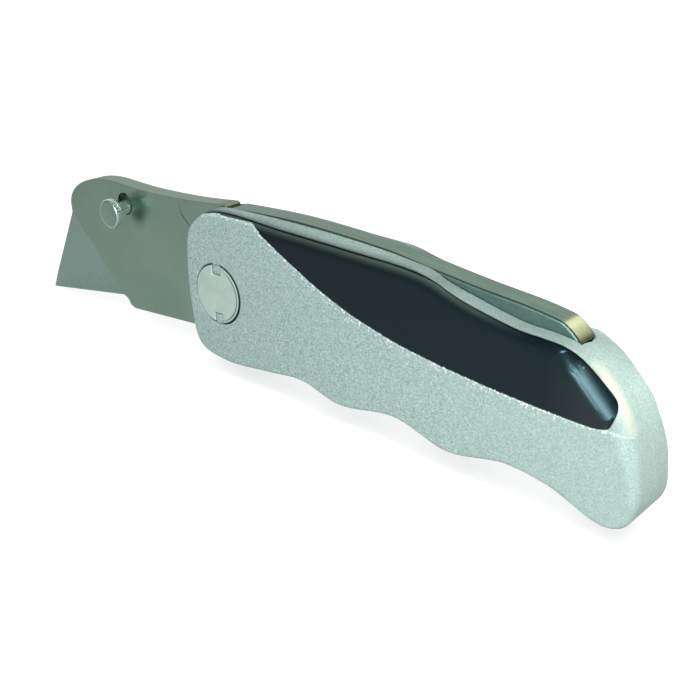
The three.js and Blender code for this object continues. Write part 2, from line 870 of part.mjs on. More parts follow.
// ---------------------------------------------------------------- assembly
const finishes = {
  casting: { color: 0xa9bcb4, roughness: 0.45, metalness: 0.75 },
  inlay: { color: 0x1d2427, roughness: 0.18, metalness: 0 },
  disc: { color: 0xacb8b0, roughness: 0.35, metalness: 0.9 },
  steel: { color: 0x8a958d, roughness: 0.3, metalness: 0.95 },
  blade: { color: 0x86938f, roughness: 0.25, metalness: 0.95 },
  spring: { color: 0x6f7672, roughness: 0.35, metalness: 0.9 },
  brass: { color: 0xb59a5a, roughness: 0.35, metalness: 0.9 },
};

const knife = new THREE.Group();

function addPiece(name, finish, made) {
  const mesh = new THREE.Mesh(surface(made), new THREE.MeshStandardMaterial(finishes[finish]));
  mesh.name = name;
  knife.add(mesh);
}

addPiece("near_casting", "casting", nearCasting());
addPiece("far_casting", "casting", farCasting());
addPiece("near_inlay", "inlay", mirrored(inlay()));
addPiece("far_inlay", "inlay", inlay());
addPiece("pivot_bolt", "disc", pivotBolt());
addPiece("pivot_screw", "disc", pivotScrew());
addPiece("near_washer", "brass", mirrored(washer()));
addPiece("far_washer", "brass", washer());
addPiece("stop_pin", "steel", crossPin(stopPinRadius, ...stopPinPlace()));
addPiece("lock_pin", "steel", crossPin(lockPinRadius, lockPinReach, lockPinHeight));
addPiece("lock_spring", "spring", lockSpring());
addPiece("lock_bar", "steel", lockBar());
buttScrewPlaces.forEach((place, i) => {
  addPiece("butt_screw_" + (i + 1), "steel", buttScrew(...place));
});
addPiece("blade_carrier", "steel", bladeCarrier());
addPiece("utility_blade", "blade", utilityBlade());
addPiece("blade_stop", "spring", bladeStop());
addPiece("button_spring", "spring", buttonSpring());
addPiece("spring_rivet", "steel", springRivet());
addPiece("release_button", "steel", releaseButton());
addPiece("latch_plate", "steel", latchPlate());

// The origin is the centre of the pivot bolt's near face, which is flush with the near panel.
const group = new THREE.Group();
knife.position.y = half;
group.add(knife);

export default group;
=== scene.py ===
# A folding lock-back utility knife, shown open: its finished pieces, finishes, light and camera.
#
# Sizes are in millimetres about the knife's middle plane, as in the frame: X runs from the pivot to the
# butt, Z up to the spine, Y from the near side to the far side. metres() takes a place into the frame.

import math

import bpy
import numpy as np
from mathutils import Matrix, Vector
from mathutils.geometry import delaunay_2d_cdt

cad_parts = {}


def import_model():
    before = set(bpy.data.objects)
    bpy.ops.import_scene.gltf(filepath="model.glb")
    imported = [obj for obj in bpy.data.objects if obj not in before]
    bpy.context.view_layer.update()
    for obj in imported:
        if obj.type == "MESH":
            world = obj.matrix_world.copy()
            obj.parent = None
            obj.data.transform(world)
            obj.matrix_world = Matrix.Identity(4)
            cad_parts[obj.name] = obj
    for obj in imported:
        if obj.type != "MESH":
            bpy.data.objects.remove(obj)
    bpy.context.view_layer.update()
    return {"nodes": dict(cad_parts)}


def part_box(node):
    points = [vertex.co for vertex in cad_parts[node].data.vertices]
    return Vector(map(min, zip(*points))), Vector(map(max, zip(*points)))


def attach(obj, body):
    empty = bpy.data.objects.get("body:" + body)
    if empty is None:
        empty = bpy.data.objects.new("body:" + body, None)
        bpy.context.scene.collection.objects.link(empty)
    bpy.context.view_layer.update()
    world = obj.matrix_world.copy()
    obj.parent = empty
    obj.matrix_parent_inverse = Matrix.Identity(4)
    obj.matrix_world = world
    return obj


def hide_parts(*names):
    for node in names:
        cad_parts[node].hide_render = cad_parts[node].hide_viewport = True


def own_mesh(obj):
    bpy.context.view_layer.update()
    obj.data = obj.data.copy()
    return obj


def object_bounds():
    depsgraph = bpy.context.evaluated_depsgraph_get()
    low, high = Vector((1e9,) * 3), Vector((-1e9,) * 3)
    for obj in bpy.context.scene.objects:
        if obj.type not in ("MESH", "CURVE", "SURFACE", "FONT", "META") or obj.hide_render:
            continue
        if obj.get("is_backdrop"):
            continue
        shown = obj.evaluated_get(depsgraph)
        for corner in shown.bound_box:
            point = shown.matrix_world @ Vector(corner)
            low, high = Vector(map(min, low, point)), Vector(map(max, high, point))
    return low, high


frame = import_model()

# ------------------------------------------------------------ sizes of the handle
HALF = 5.9  # half of the handle's thickness
WALL_INNER = 2.5  # middle plane to a casting's wall
SPINE = 18.8
BELLY = 14.2
FRONT = 9.1
BUTT = 93.86
FIRST_GROOVE = 23.8
LAST_GROOVE = BUTT - 23.3
MIDDLE_GROOVE = FIRST_GROOVE + (LAST_GROOVE - FIRST_GROOVE) / 2
DIPPED = 13.9  # the spine's height at the thumb's dip
PANEL_RISE = 0.4
INLAY_DEPTH = 1.5
INLAY_GAP = 0.14
SEAM = 0.06
SEAM_ROUND = 0.16
FAR_SPINE_DROP = 0.6
WALL = 0.04  # how far a step's wall leans
PIN_REACH = HALF - PANEL_RISE - INLAY_DEPTH - 0.4

# ------------------------------------------------------------ sizes of the pivot and the screws
DISC_RADIUS = 6.1
DISC_HEIGHT = 1.4
DISC_PROUD = 0.12
SEAT_GAP = 0.28
BARREL_RADIUS = 3.0
SHANK_RADIUS = 1.9
KEY_WIDTH = 2.0
KEY_INNER = DISC_RADIUS - 1.9
KEY_TURN = 4
KEY_ANGLES = (90 + KEY_TURN, 270 + KEY_TURN)
KEY_AXES = [(math.cos(math.radians(a)), math.sin(math.radians(a))) for a in KEY_ANGLES]
SOCKET_RADIUS = 1.5
CAP_ROUND = 0.22
SCREW_PLACES = [(BUTT - 15.5, -1.5), (BUTT - 7.5, -8.2)]
SCREW_HEAD = 2.5
SCREW_SEAT = SCREW_HEAD + 0.15
SCREW_SHANK = 1.25

# ------------------------------------------------------------ sizes of the blade and its carrier
BLADE_LENGTH = 61
BLADE_HEIGHT = 19
BLADE_RUN = 14
BLADE_TILT = math.radians(11.3)
TIP = (-5.2 - BLADE_LENGTH * math.cos(BLADE_TILT), -18)
SWING = math.hypot(*TIP)
LATCH_NOTCH = 35.5
CARRIER_HALF = 2.0
CARRIER_ROUND = 0.06
SLOT_HALF = 0.45
NOSE = -TIP[0] - 12.2
STEP = -TIP[0] - 29.8
LOCK_UNDERSIDE = 12.6
LOCK_ANGLE = math.radians(4)
TANG_RADIUS = LOCK_UNDERSIDE - 1
TANG_TOP = SPINE - 1.3
LOCK_HALF = 2.38
LOCK_END = BUTT - 14.4
SLOT_END = LOCK_END + 0.35
LOCK_PIN = (38, 15.4)
BLOCK_TOP = LOCK_UNDERSIDE - (LOCK_END - LOCK_PIN[0]) * math.sin(LOCK_ANGLE) - 0.3
SPRING_X = LOCK_END - 5.5
SPRING_FLOOR = BLOCK_TOP - 4
SPRING_GROOVE = 2.05
STOP_PIN = tuple((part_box("stop_pin")[0][i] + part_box("stop_pin")[1][i]) * 500 for i in (0, 2))
PIN_HOLLOWS = ((LOCK_PIN, 1.6), (STOP_PIN, 1.4))


def on_blade(along, up):
    """A place along and above the cutting edge, from the blade's point."""
    c, s = math.cos(BLADE_TILT), math.sin(BLADE_TILT)
    return (TIP[0] + along * c - up * s, TIP[1] + along * s + up * c)


CARRIER_TOP = on_blade(BLADE_LENGTH - BLADE_RUN, BLADE_HEIGHT)[1] + 5.05
BUTTON = on_blade(LATCH_NOTCH + 1.2, BLADE_HEIGHT + 2)
LEAF_RIVET = (BUTTON[0] + 14.5, BUTTON[1] + 1.2)


def metres(x, y, z):
    return Vector((x, y + HALF, z)) * 0.001


# ------------------------------------------------------------ lines in X and Z
class Line:
    """A line of places that can be moved sideways, and says how far others are from it."""

    def __init__(self, places, closed=False):
        self.places = np.array(places, float)
        self.closed = closed
        self.starts = self.places if closed else self.places[:-1]
        self.runs = (np.roll(self.places, -1, axis=0) if closed else self.places[1:]) - self.starts
        self.squares = (self.runs**2).sum(1)

    def away(self, spots):
        """Each spot's distance from the line, positive on its left."""
        if len(spots) > 1500:
            parts = np.array_split(spots, len(spots) // 1500 + 1)
            return np.concatenate([self.away(part) for part in parts])
        offsets = spots[:, None, :] - self.starts[None]
        share = np.clip((offsets * self.runs).sum(2) / self.squares, 0, 1)
        gaps = offsets - share[..., None] * self.runs
        lengths = np.hypot(gaps[..., 0], gaps[..., 1])
        rows, nearest = np.arange(len(spots)), lengths.argmin(1)
        gap, run = gaps[rows, nearest], self.runs[nearest]
        side = np.where(run[:, 0] * gap[:, 1] - run[:, 1] * gap[:, 0] < 0, -1, 1)
        return side * lengths[rows, nearest]

    def moved(self, distance):
        """The same line, moved to its left."""
        if self.closed:
            along = np.roll(self.places, -1, axis=0) - np.roll(self.places, 1, axis=0)
        else:
            along = np.gradient(self.places, axis=0)
        along /= np.hypot(along[:, 0], along[:, 1])[:, None]
        left = np.stack([-along[:, 1], along[:, 0]], axis=1)
        return Line(self.places + left * np.reshape(distance, (-1, 1)), self.closed)


def smooth(places, spacing):
    """A smooth line through a few places, with even steps."""
    p = np.array(places, float)
    p = np.vstack([p[:1], p, p[-1:]])
    return even(hermite(p, [1.0] * (len(p) - 1)), spacing)


def smooth_loop(places, spacing):
    """A smooth closed line through a few places, with even steps."""
    p = np.array(places, float)
    p = np.vstack([p[-1:], p, p[:2]])
    return even(hermite(p, np.sqrt(np.hypot(*np.diff(p, axis=0).T))), spacing)[:-1]


def hermite(p, steps):
    """The curve through all but the first and last places; steps are the knots' spacings."""
    t = np.linspace(0, 1, 24, endpoint=False)[:, None]
    parts = []
    for i in range(1, len(p) - 2):
        a, b, c, d = p[i - 1 : i + 3]
        e, f, g = steps[i - 1 : i + 2]
        start = f * ((b - a) / e - (c - a) / (e + f) + (c - b) / f)
        end = f * ((c - b) / f - (d - b) / (f + g) + (d - c) / g)
        parts.append(
            (2 * t**3 - 3 * t**2 + 1) * b + (t**3 - 2 * t**2 + t) * start
            + (3 * t**2 - 2 * t**3) * c + (t**3 - t**2) * end
        )
    return np.vstack(parts + [p[-2:-1]])


def even(points, spacing):
    """The line through the points, in even steps."""
    points = np.array(points, float)
    lengths = np.concatenate([[0], np.cumsum(np.hypot(*np.diff(points, axis=0).T))])
    stations = np.linspace(0, lengths[-1], max(2, round(lengths[-1] / spacing)) + 1)
    return np.stack([np.interp(stations, lengths, points[:, k]) for k in (0, 1)], axis=1)


def arc(x, z, radius, start, end, count):
    """Places along an arc, its angles in degrees from +X towards +Z."""
    angles = np.radians(np.linspace(start, end, count + 1))
    return np.stack([x + radius * np.cos(angles), z + radius * np.sin(angles)], axis=1)


def circle(x, z, radius, count):
    return Line(arc(x, z, radius, 0, 360, count)[:-1], closed=True)


def rings(x, z, radius, count, grown=(0, -WALL)):
    """Circles round one place, each grown by its own distance."""
    return [circle(x, z, radius + g, count) for g in grown]


def barrel_hole():
    """The hole that a piece leaves for the pivot's barrel."""
    return Line(circle(0, 0, BARREL_RADIUS + 0.1, 48).places[::-1], closed=True)


def polygon(corners, spacing):
    """A closed line with straight sides, in even steps."""
    sides = zip(corners, list(corners[1:]) + [corners[0]])
    return Line(np.vstack([even(side, spacing)[:-1] for side in sides]), closed=True)


def between(first, second):
    """The loop that two crossing lines enclose: along the first, and back along the second."""
    crossings = []
    for i, (start, run) in enumerate(zip(first.starts, first.runs)):
        offsets = second.starts - start
        denominator = run[0] * second.runs[:, 1] - run[1] * second.runs[:, 0]
        denominator = np.where(abs(denominator) < 1e-12, 1e-12, denominator)
        t = (offsets[:, 0] * second.runs[:, 1] - offsets[:, 1] * second.runs[:, 0]) / denominator
        u = (offsets[:, 0] * run[1] - offsets[:, 1] * run[0]) / denominator
        for j in np.nonzero((t >= 0) & (t < 1) & (u >= 0) & (u < 1))[0]:
            crossings.append((i, int(j), start + t[j] * run))
    (i, j, start), (k, m, end) = crossings[0], crossings[-1]
    there, back = first.places[i + 1 : k + 1], second.places[m + 1 : j + 1]
    return Line(np.vstack([[start], there, [end], back]), closed=True)


# ------------------------------------------------------------ how a surface rises and falls
ROUNDING_STEPS = (0.05, 0.13, 0.24, 0.38, 0.55, 0.76, 1.0, 1.25)


def ramp(t):
    return np.clip(t, 0, 1)


def ease(t):
    t = ramp(t)
    return t * t * (3 - 2 * t)


def fillet(distance, width, drop=None):
    """How far a rounded edge has dropped at a distance in from it."""
    s = 1 - ramp(distance / width)
    return (width if drop is None else drop) * (1 - np.sqrt(1 - s * s))


def rounding_lines(loop, width):
    """The lines that a rounding of that width needs along its edge."""
    return [loop.moved(width * u) for u in ROUNDING_STEPS]


def radius_from(spots, x, z):
    return np.hypot(spots[:, 0] - x, spots[:, 1] - z)


def flat(y):
    """A face that is level at Y."""
    return lambda spots: np.full(len(spots), y)


def sunk(depth, inwards, floor, rounding):
    """A depth with a recess in it, whose edge is rounded."""
    lip = fillet(np.maximum(-inwards, 0), rounding)
    wall = rounding + (floor - rounding) * ramp(inwards / WALL)
    return np.maximum(depth, np.where(inwards > 0, wall, lip))


# ------------------------------------------------------------ meshes
def inside(loops, spots):
    """Which spots are inside the first loop and outside the rest."""
    odd = np.zeros(len(spots), bool)
    for loop in loops:
        for (x1, z1), (x2, z2) in zip(loop.places, np.roll(loop.places, -1, axis=0)):
            if z1 != z2:
                crosses = (z1 > spots[:, 1]) != (z2 > spots[:, 1])
                reach = (x2 - x1) * (spots[:, 1] - z1) / (z2 - z1) + x1
                odd ^= crosses & (spots[:, 0] < reach)
    return odd


def kept_runs(line, loops):
    """The parts of a line that lie well inside the loops, and whether each is closed."""
    places, count = line.places, len(line.places)
    deep = inside(loops, places) & (np.min([abs(l.away(places)) for l in loops], axis=0) > 0.012)
    if deep.all():
        return [(places, line.closed)]
    if line.closed:
        turn = int(np.argmin(deep))
        places, deep = np.roll(places, -turn, axis=0), np.roll(deep, -turn)
    runs, start = [], None
    for i in range(count + 1):
        if i < count and deep[i]:
            start = i if start is None else start
        elif start is not None:
            if i - start > 1:
                runs.append((places[start:i], False))
            start = None
    return runs


def covered(loops, lines):
    """Triangles over the region inside the loops, with edges along the lines."""
    spots, edges = [], []
    runs = [(loop.places, True) for loop in loops]
    for line in lines:
        runs += kept_runs(line, loops)
    for places, closed in runs:
        first = len(spots)
        spots += [Vector(p) for p in places]
        edges += [(first + i, first + i + 1) for i in range(len(places) - 1)]
        if closed:
            edges.append((len(spots) - 1, first))
    found, _, faces, sources, _, _ = delaunay_2d_cdt(spots, edges, [], 0, 1e-5)
    found = np.array([tuple(v) for v in found])
    faces = np.array([tuple(f) for f in faces])
    faces = faces[inside(loops, found[faces].mean(axis=1))]
    where = {origin: place for place, origins in enumerate(sources) for origin in origins}
    borders, first = [], 0
    for loop in loops:
        borders.append([where[first + i] for i in range(len(loop.places))])
        first += len(loop.places)
    return found, faces, borders


def solid_piece(name, loops, low, high, low_lines=(), high_lines=()):
    """A closed piece over flat loops: low and high give its near and far faces' Y at each spot."""
    near, near_faces, near_borders = covered(loops, low_lines)
    far, far_faces, far_borders = covered(loops, high_lines)
    count = len(near)
    corners = [metres(x, y, z) for (x, z), y in zip(near, low(near))]
    corners += [metres(x, y, z) for (x, z), y in zip(far, high(far))]
    faces = [tuple(f) for f in near_faces] + [tuple(f[::-1] + count) for f in far_faces]
    for a, b in zip(near_borders, far_borders):
        for i in range(len(a)):
            k = (i + 1) % len(a)
            faces.append((a[i], b[i] + count, b[k] + count, a[k]))
    return mesh_piece(name, corners, faces)


def half_piece(name, loops, far_side, depth, inner, outer_lines, inner_lines):
    """A piece of one side, from its outer face's depth and its inner face's distance off the middle."""
    if far_side:
        return solid_piece(name, loops, inner, lambda s: HALF - depth(s), inner_lines, outer_lines)

    def back(spots):
        return -inner(spots)

    return solid_piece(name, loops, lambda s: depth(s) - HALF, back, outer_lines, inner_lines)


def mesh_piece(name, corners, faces):
    """A linked object, with a mesh of the corners that the faces use."""
    used = sorted({i for face in faces for i in face})
    order = {old: new for new, old in enumerate(used)}
    mesh = bpy.data.meshes.new(name)
    mesh.from_pydata([tuple(corners[i]) for i in used], [], [tuple(order[i] for i in f) for f in faces])
    piece = bpy.data.objects.new(name, mesh)
    bpy.context.scene.collection.objects.link(piece)
    return piece


def turned_piece(name, profile, x, z, count):
    """A closed piece turned about an axis along Y, from pairs of radius and Y that start and end on it."""
    corners, faces, rounds = [], [], []
    for radius, y in profile:
        spots = arc(x, z, radius, 0, 360, count)[:-1] if radius else [(x, z)]
        rounds.append(range(len(corners), len(corners) + len(spots)))
        corners += [metres(px, y, pz) for px, pz in spots]
    for a, b in zip(rounds, rounds[1:]):
        for i in range(count):
            k = (i + 1) % count
            quad = (a[i % len(a)], b[i % len(b)], b[k % len(b)], a[k % len(a)])
            faces.append(tuple(dict.fromkeys(quad)))
    return mesh_piece(name, corners, faces)


def baked(piece):
    """The piece with its modifiers worked into its mesh."""
    bpy.context.view_layer.update()
    mesh = bpy.data.meshes.new_from_object(piece.evaluated_get(bpy.context.evaluated_depsgraph_get()))
    piece.modifiers.clear()
    old, piece.data = piece.data, mesh
    mesh.name = piece.name
    bpy.data.meshes.remove(old)
    return piece


def cut(piece, cutter):
    """The piece with the cutter's shape taken out of it."""
    modifier = piece.modifiers.new("Cut", "BOOLEAN")
    modifier.operation = "DIFFERENCE"
    modifier.solver = "EXACT"
    modifier.object = cutter
    baked(piece)
    bpy.data.objects.remove(cutter)
    return piece


def fitted(piece, body, finish, node, angle=38):
    """The piece shaded, in its finish and on its body, standing for its node of the frame.

    The shading is smooth, flat on flat faces, and crisp at edges sharper than the angle."""
    mesh = piece.data
    mesh.polygons.foreach_set("use_smooth", [True] * len(mesh.polygons))
    mesh.set_sharp_from_angle(angle=math.radians(angle))
    piece.modifiers.new("Weighted Normal", "WEIGHTED_NORMAL").keep_sharp = True
    baked(piece)
    piece.data.materials.clear()
    piece.data.materials.append(finish)
    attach(piece, body)
    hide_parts(node)
    return piece


# ------------------------------------------------------------ node trees
class Wire:
    """A node's output. Python's operators on it add the nodes that work the sum out."""

    def __init__(self, nodes, socket):
        self.nodes = nodes
        self.socket = socket

    def worked(self, operation, *terms):
        vectors = any(isinstance(t, Wire) and t.socket.type == "VECTOR" for t in terms)
        kind = "ShaderNodeVectorMath" if vectors else "ShaderNodeMath"
        return self.nodes.node(kind, dict(enumerate(terms)), {"operation": operation})

    def __add__(self, other):
        return self.worked("ADD", self, other)

    def __radd__(self, other):
        return self.worked("ADD", other, self)

    def __sub__(self, other):
        return self.worked("SUBTRACT", self, other)

    def __rsub__(self, other):
        return self.worked("SUBTRACT", other, self)

    def __mul__(self, other):
        return self.worked("MULTIPLY", self, other)

    def __rmul__(self, other):
        return self.worked("MULTIPLY", other, self)

    def __gt__(self, other):
        return self.worked("GREATER_THAN", self, other)

    def absolute(self):
        return self.worked("ABSOLUTE", self)

    def clipped(self):
        return self.nodes.node("ShaderNodeClamp", {"Value": self})

    def rising(self, start, slope):
        """From 0 at the start up to 1."""
        return ((self - start) * slope).clipped()

    def falling(self, end, slope):
        """From 1 down to 0 at the end."""
        return ((end - self) * slope).clipped()

    def banded(self, middle, peak, slope):
        """Highest at the middle, and falling off on both sides."""
        return (peak - (self - middle).absolute() * slope).clipped()

    def length(self):
        return self.nodes.node("ShaderNodeVectorMath", {0: self}, {"operation": "LENGTH"}, "Value")

    def parts(self):
        """The vector's X, Y and Z."""
        split = self.nodes.node("ShaderNodeSeparateXYZ", {"Vector": self})
        return [split.output(axis) for axis in "XYZ"]

    def output(self, name):
        """Another output of the same node."""
        return Wire(self.nodes, self.socket.node.outputs[name])


class Nodes:
    """A node tree under construction."""

    def node(self, kind, sockets=None, settings=None, output=0):
        """One node: its settings first, then the values or wires of its sockets."""
        made = self.tree.nodes.new(kind)
        for name, value in (settings or {}).items():
            setattr(made, name, value)
        for name, value in (sockets or {}).items():
            socket = made.inputs[name]
            for item in value if isinstance(value, list) else [value]:
                if isinstance(item, Wire):
                    self.tree.links.new(item.socket, socket)
                elif socket.type == "VECTOR" and isinstance(item, (int, float)):
                    socket.default_value = (item, item, item)
                else:
                    socket.default_value = item
        return Wire(self, made.outputs[output]) if made.outputs else None


class Finish(Nodes):
    """A material, or the world, under construction."""

    def __init__(self, name, kind="materials"):
        self.owner = getattr(bpy.data, kind).new(name)
        self.owner.use_nodes = True
        self.tree = self.owner.node_tree
        self.tree.nodes.clear()

    def places(self, stretch=(1, 1, 1)):
        """Places on the object in millimetres, each axis multiplied by stretch."""
        return self.node("ShaderNodeTexCoord", output="Object") * tuple(1000 * s for s in stretch)

    def noise(self, places, scale, detail, roughness=0.5):
        sockets = {"Vector": places, "Scale": scale, "Detail": detail, "Roughness": roughness}
        return self.node("ShaderNodeTexNoise", sockets, output="Fac")

    def cells(self, places, scale):
        """The distance from the middle of a cell, and a number of the cell's own."""
        gap = self.node("ShaderNodeTexVoronoi", {"Vector": places, "Scale": scale}, output="Distance")
        return gap, self.node("ShaderNodeSeparateColor", {"Color": gap.output("Color")})

    def spots(self, places, scale, share, reach):
        """A spot in the middle of some of the cells."""
        gap, chance = self.cells(places, scale)
        return (chance > share) * gap.falling(reach, 8)

    def mixed(self, factor, first, second):
        """A colour between two others, each a wire or three numbers for tone()."""
        first, second = (c if isinstance(c, Wire) else tone(*c) for c in (first, second))
        return self.node("ShaderNodeMix", {0: factor, 6: first, 7: second}, {"data_type": "RGBA"}, 2)

    def layered(self, base, *coats):
        """A colour with others over it, each with its factor."""
        for factor, colour in coats:
            base = self.mixed(factor, base, colour)
        return base

    def surface(self, height, distance, strength, **sockets):
        """The material, bumped by a height over a distance in millimetres."""
        named = {name.replace("_", " "): value for name, value in sockets.items()}
        bump = {"Height": height, "Distance": distance / 1000, "Strength": strength}
        named["Normal"] = self.node("ShaderNodeBump", bump)
        self.node("ShaderNodeOutputMaterial", {"Surface": self.node("ShaderNodeBsdfPrincipled", named)})
        return self.owner


def tone(red, green, blue):
    """A colour as it looks on a screen, each part up to 255."""
    parts = [c / 255 for c in (red, green, blue)]
    return tuple(p / 12.92 if p <= 0.04045 else ((p + 0.055) / 1.055) ** 2.4 for p in parts) + (1.0,)


# ------------------------------------------------------------ finishes
def flaked_paint():
    """Silver paint with fine bright flakes, rough burrs with painted glints along the panel, painted shade
    beside the inlay, on the rim and round the pivot, and a painted cream highlight on the butt.
    """
    finish = Finish("flaked_silver_paint")
    places = finish.places()
    along, across, up = places.parts()
    from_panel, from_rim, _ = finish.node("ShaderNodeTexCoord", output="UV").parts()
    past_panel = from_panel > 0.04
    # The band along the panel's edge that holds the burrs and their painted glints.
    burr_glint_band = from_panel.banded(-0.15, 1.3, 4.5) * along.falling(91, 0.5)
    # Painted shade on the rim bead's lower flank beside the inlay, stronger towards the front.
    beside = from_rim.rising(-1.15, 1.05) * past_panel * along.falling(88, 0.3)
    painted_bead_shade = beside * (along.falling(58, 0.1) * 0.6 + 0.35)
    # Painted shade that darkens the rim outside the inlay's border.
    painted_land_shade = (from_rim * -5).clipped() * past_panel * along.rising(6, 0.15) * along.falling(86, 0.12)
    # A painted cream highlight along the near casting's rounded top at the butt.
    painted_cream_highlight = across.falling(3.8, 0.6) * across.rising(0.5, 1.2) * past_panel
    painted_cream_highlight = painted_cream_highlight * along.rising(82, 0.3) * up.rising(0.3, 0.2)
    # Painted shade in the gap round the pivot disc's seat, stronger towards the butt.
    seat = (places * (1, 0, 1)).length().banded(DISC_RADIUS + 0.12, 1.3, 5)
    seat = seat * (along * 0.12 + 0.5).clipped() * 0.9
    contrast = 1 - along.rising(46, 0.018) * 0.6
    grain = finish.noise(places, 2.6, 2, 0.7)
    flake = finish.cells(places, 4.6)[1]
    flash = finish.spots(places, 1.3, 0.9, 0.26) * contrast
    # Burrs along the panel's edge: rough bumps, with painted glints in their near-white colour.
    burr_and_glint = finish.spots(places, 1.9, 0.5, 0.48) * burr_glint_band
    shade = ((flake - 0.5) * contrast * 0.9 + (grain - 0.5) * contrast * 0.9 + 0.5).clipped()
    base = finish.layered(
        finish.mixed(shade, (125, 152, 146), (185, 208, 202)),
        (finish.noise(places, 0.12, 2) * 0.3, (168, 180, 186)), (flash * 0.75, (226, 242, 234)),
        (burr_and_glint, (250, 255, 252)), (painted_land_shade * 0.5, (60, 78, 74)), (painted_cream_highlight * 0.55, (222, 222, 200)),
        (painted_bead_shade, (78, 92, 88)), (seat, (30, 48, 48)),
    )
    rough = 0.5 - flake * 0.12 * contrast - flash * 0.2
    return finish.surface(
        shade + flash * 0.8 + burr_and_glint * 2, 0.03, 0.7, Base_Color=base, Metallic=0.12, Roughness=rough
    )


def gloss_moulding():
    """The inlays' smooth black, with a painted sheen that makes it paler where it turns down at the border,
    and a little dust.
    """
    finish = Finish("gloss_black_moulding")
    places = finish.places()
    along = places.parts()[0]
    from_rim = finish.node("ShaderNodeTexCoord", output="UV").parts()[1]
    # Painted sheen: paler towards the rim where the inlay turns down, fading out towards the butt.
    turned = from_rim.falling(1.7, 0.58) * along.falling(74, 0.08)
    rear = along.rising(76, 0.15)
    dust = finish.spots(places, 1.1, 0.955, 0.12) * (1 - rear)
    haze = finish.noise(places, 0.5, 4)
    base = finish.mixed(turned * turned, (8, 20, 23), (64, 79, 73))
    return finish.surface(
        finish.noise(places, 0.12, 1) * 0.6 + haze * 0.05, 0.05, 0.3,
        Base_Color=finish.mixed(dust * 0.5, base, (80, 96, 100)), Metallic=0.0,
        Roughness=0.13 + haze * 0.1 + dust * 0.2 + rear * 0.1, Specular_IOR_Level=0.32,
        Specular_Tint=(0.6, 0.92, 1.0, 1.0), Coat_Weight=rear * 0.35, Coat_Roughness=0.2,
    )


def steel_grain(finish, stretch, crosswise):
    """Lines drawn out along one direction, soft clouds, and scratches across the lines."""
    drawn = finish.noise(finish.places(stretch), 1.0, 4, 0.65)
    scratches = finish.noise(finish.places(crosswise), 0.8, 2).rising(0.68, 9)
    return drawn, finish.noise(finish.places(), 0.09, 3), scratches


def ground_steel(name, dark, light, stretch, roughness, lines=1.0):
    """Steel with a fine grain drawn out along one direction, clouded and lightly scratched."""
    finish = Finish(name)
    drawn, cloud, mark = steel_grain(finish, stretch, tuple(s * 1.7 for s in stretch[::-1]))
    shade = (drawn * 0.7 * lines + cloud * 0.9 - 0.3).clipped()
    return finish.surface(
        drawn * lines - mark * 0.3, 0.006, 0.5, Base_Color=finish.mixed(shade, dark, light), Metallic=1.0,
        Roughness=roughness + drawn * 0.08 + cloud * 0.06 + mark * 0.1,
    )


def carrier_steel():
    """Brushed steel, with painted light that makes its narrow edges paler, warm at the tang's end, and a
    painted shadow beside the button.
    """
    finish = Finish("carrier_steel")
    places = finish.places()
    along, across, up = places.parts()
    drawn, cloud, mark = steel_grain(finish, (0.08, 3.0, 3.0), (3.0, 3.0, 0.15))
    shade = (drawn * 0.3 + cloud * 0.9 - 0.2).clipped()
    # A painted shadow of the button: a dark soft patch on the plate beside it.
    from_painted_shadow = ((places - (BUTTON[0] + 4.3, 0, BUTTON[1] - 0.6)) * (1, 0, 0.8)).length()
    plate = finish.mixed(shade, (145, 170, 155), (168, 191, 176))
    plate = finish.mixed((1.25 - from_painted_shadow * 0.42).clipped() * 0.6, plate, (70, 92, 82))
    # Painted light: the narrow edges take a paler copy of the plates' steel.
    edge = finish.mixed(shade, (156, 179, 166), (176, 197, 184))
    edge = finish.mixed(along.rising(-4.4, 0.8) * up.rising(15, 1) * 0.85, edge, (146, 150, 124))
    face = (across - HALF).absolute().rising(CARRIER_HALF - 0.07, 25)
    return finish.surface(
        drawn * 0.45 - mark * 0.3, 0.006, 0.5, Base_Color=finish.mixed(face, edge, plate), Metallic=1.0,
        Roughness=0.22 + drawn * 0.08 + cloud * 0.06 + mark * 0.1,
    )


def lock_bar_steel():
    """Ground steel on the bar's back, with a painted warm highlight on its slanted end, painted shade at the
    end's foot and along its edges, and rougher dark steel on its sides.
    """
    finish = Finish("lock_bar_steel")
    places = finish.places()
    along, across, _ = places.parts()
    drawn = finish.noise(finish.places((0.05, 1.1, 1.1)), 1.0, 4, 0.6)
    mottle = finish.noise(places, 1.8, 3, 0.6)
    cloud = finish.noise(places, 0.1, 2)
    off_middle = (across - HALF).absolute()
    side = off_middle.rising(2.24, 12)
    back = finish.layered(
        finish.mixed((drawn * 1.5 + cloud * 0.5 - 0.5).clipped(), (118, 142, 131), (154, 178, 165)),
        # A painted warm highlight on the slanted end.
        (along.rising(75.2, 1.5) * 0.85, (182, 188, 150)),
        # Painted shade at the slanted end's foot, where it runs down into the slot.
        (along.rising(LOCK_END - 2.6, 0.5) * 0.6, (112, 120, 98)),
    )
    flank = finish.mixed((mottle * 1.6 - 0.3).clipped(), (98, 117, 112), (120, 141, 134))
    # Painted shade: a dark band along the edges between the bar's back and its sides.
    arris = off_middle.banded(2.18, 1, 5.5) * 0.75
    return finish.surface(
        drawn * 0.5 + side * mottle, 0.008, 0.5, Metallic=0.9, Roughness=0.24 + drawn * 0.08 + side * 0.15,
        Base_Color=finish.mixed(arris, finish.mixed(side, back, flank), (66, 84, 76)),
    )


def plating(name):
    """Plated metal begun: the finish, its places, soft clouds, fine pits, and how patchy its colour is."""
    finish = Finish(name)
    places = finish.places()
    cloud = finish.noise(places, 0.25, 3)
    return finish, places, cloud, finish.noise(places, 4.0, 2), (cloud * 1.8 - 0.4).clipped()


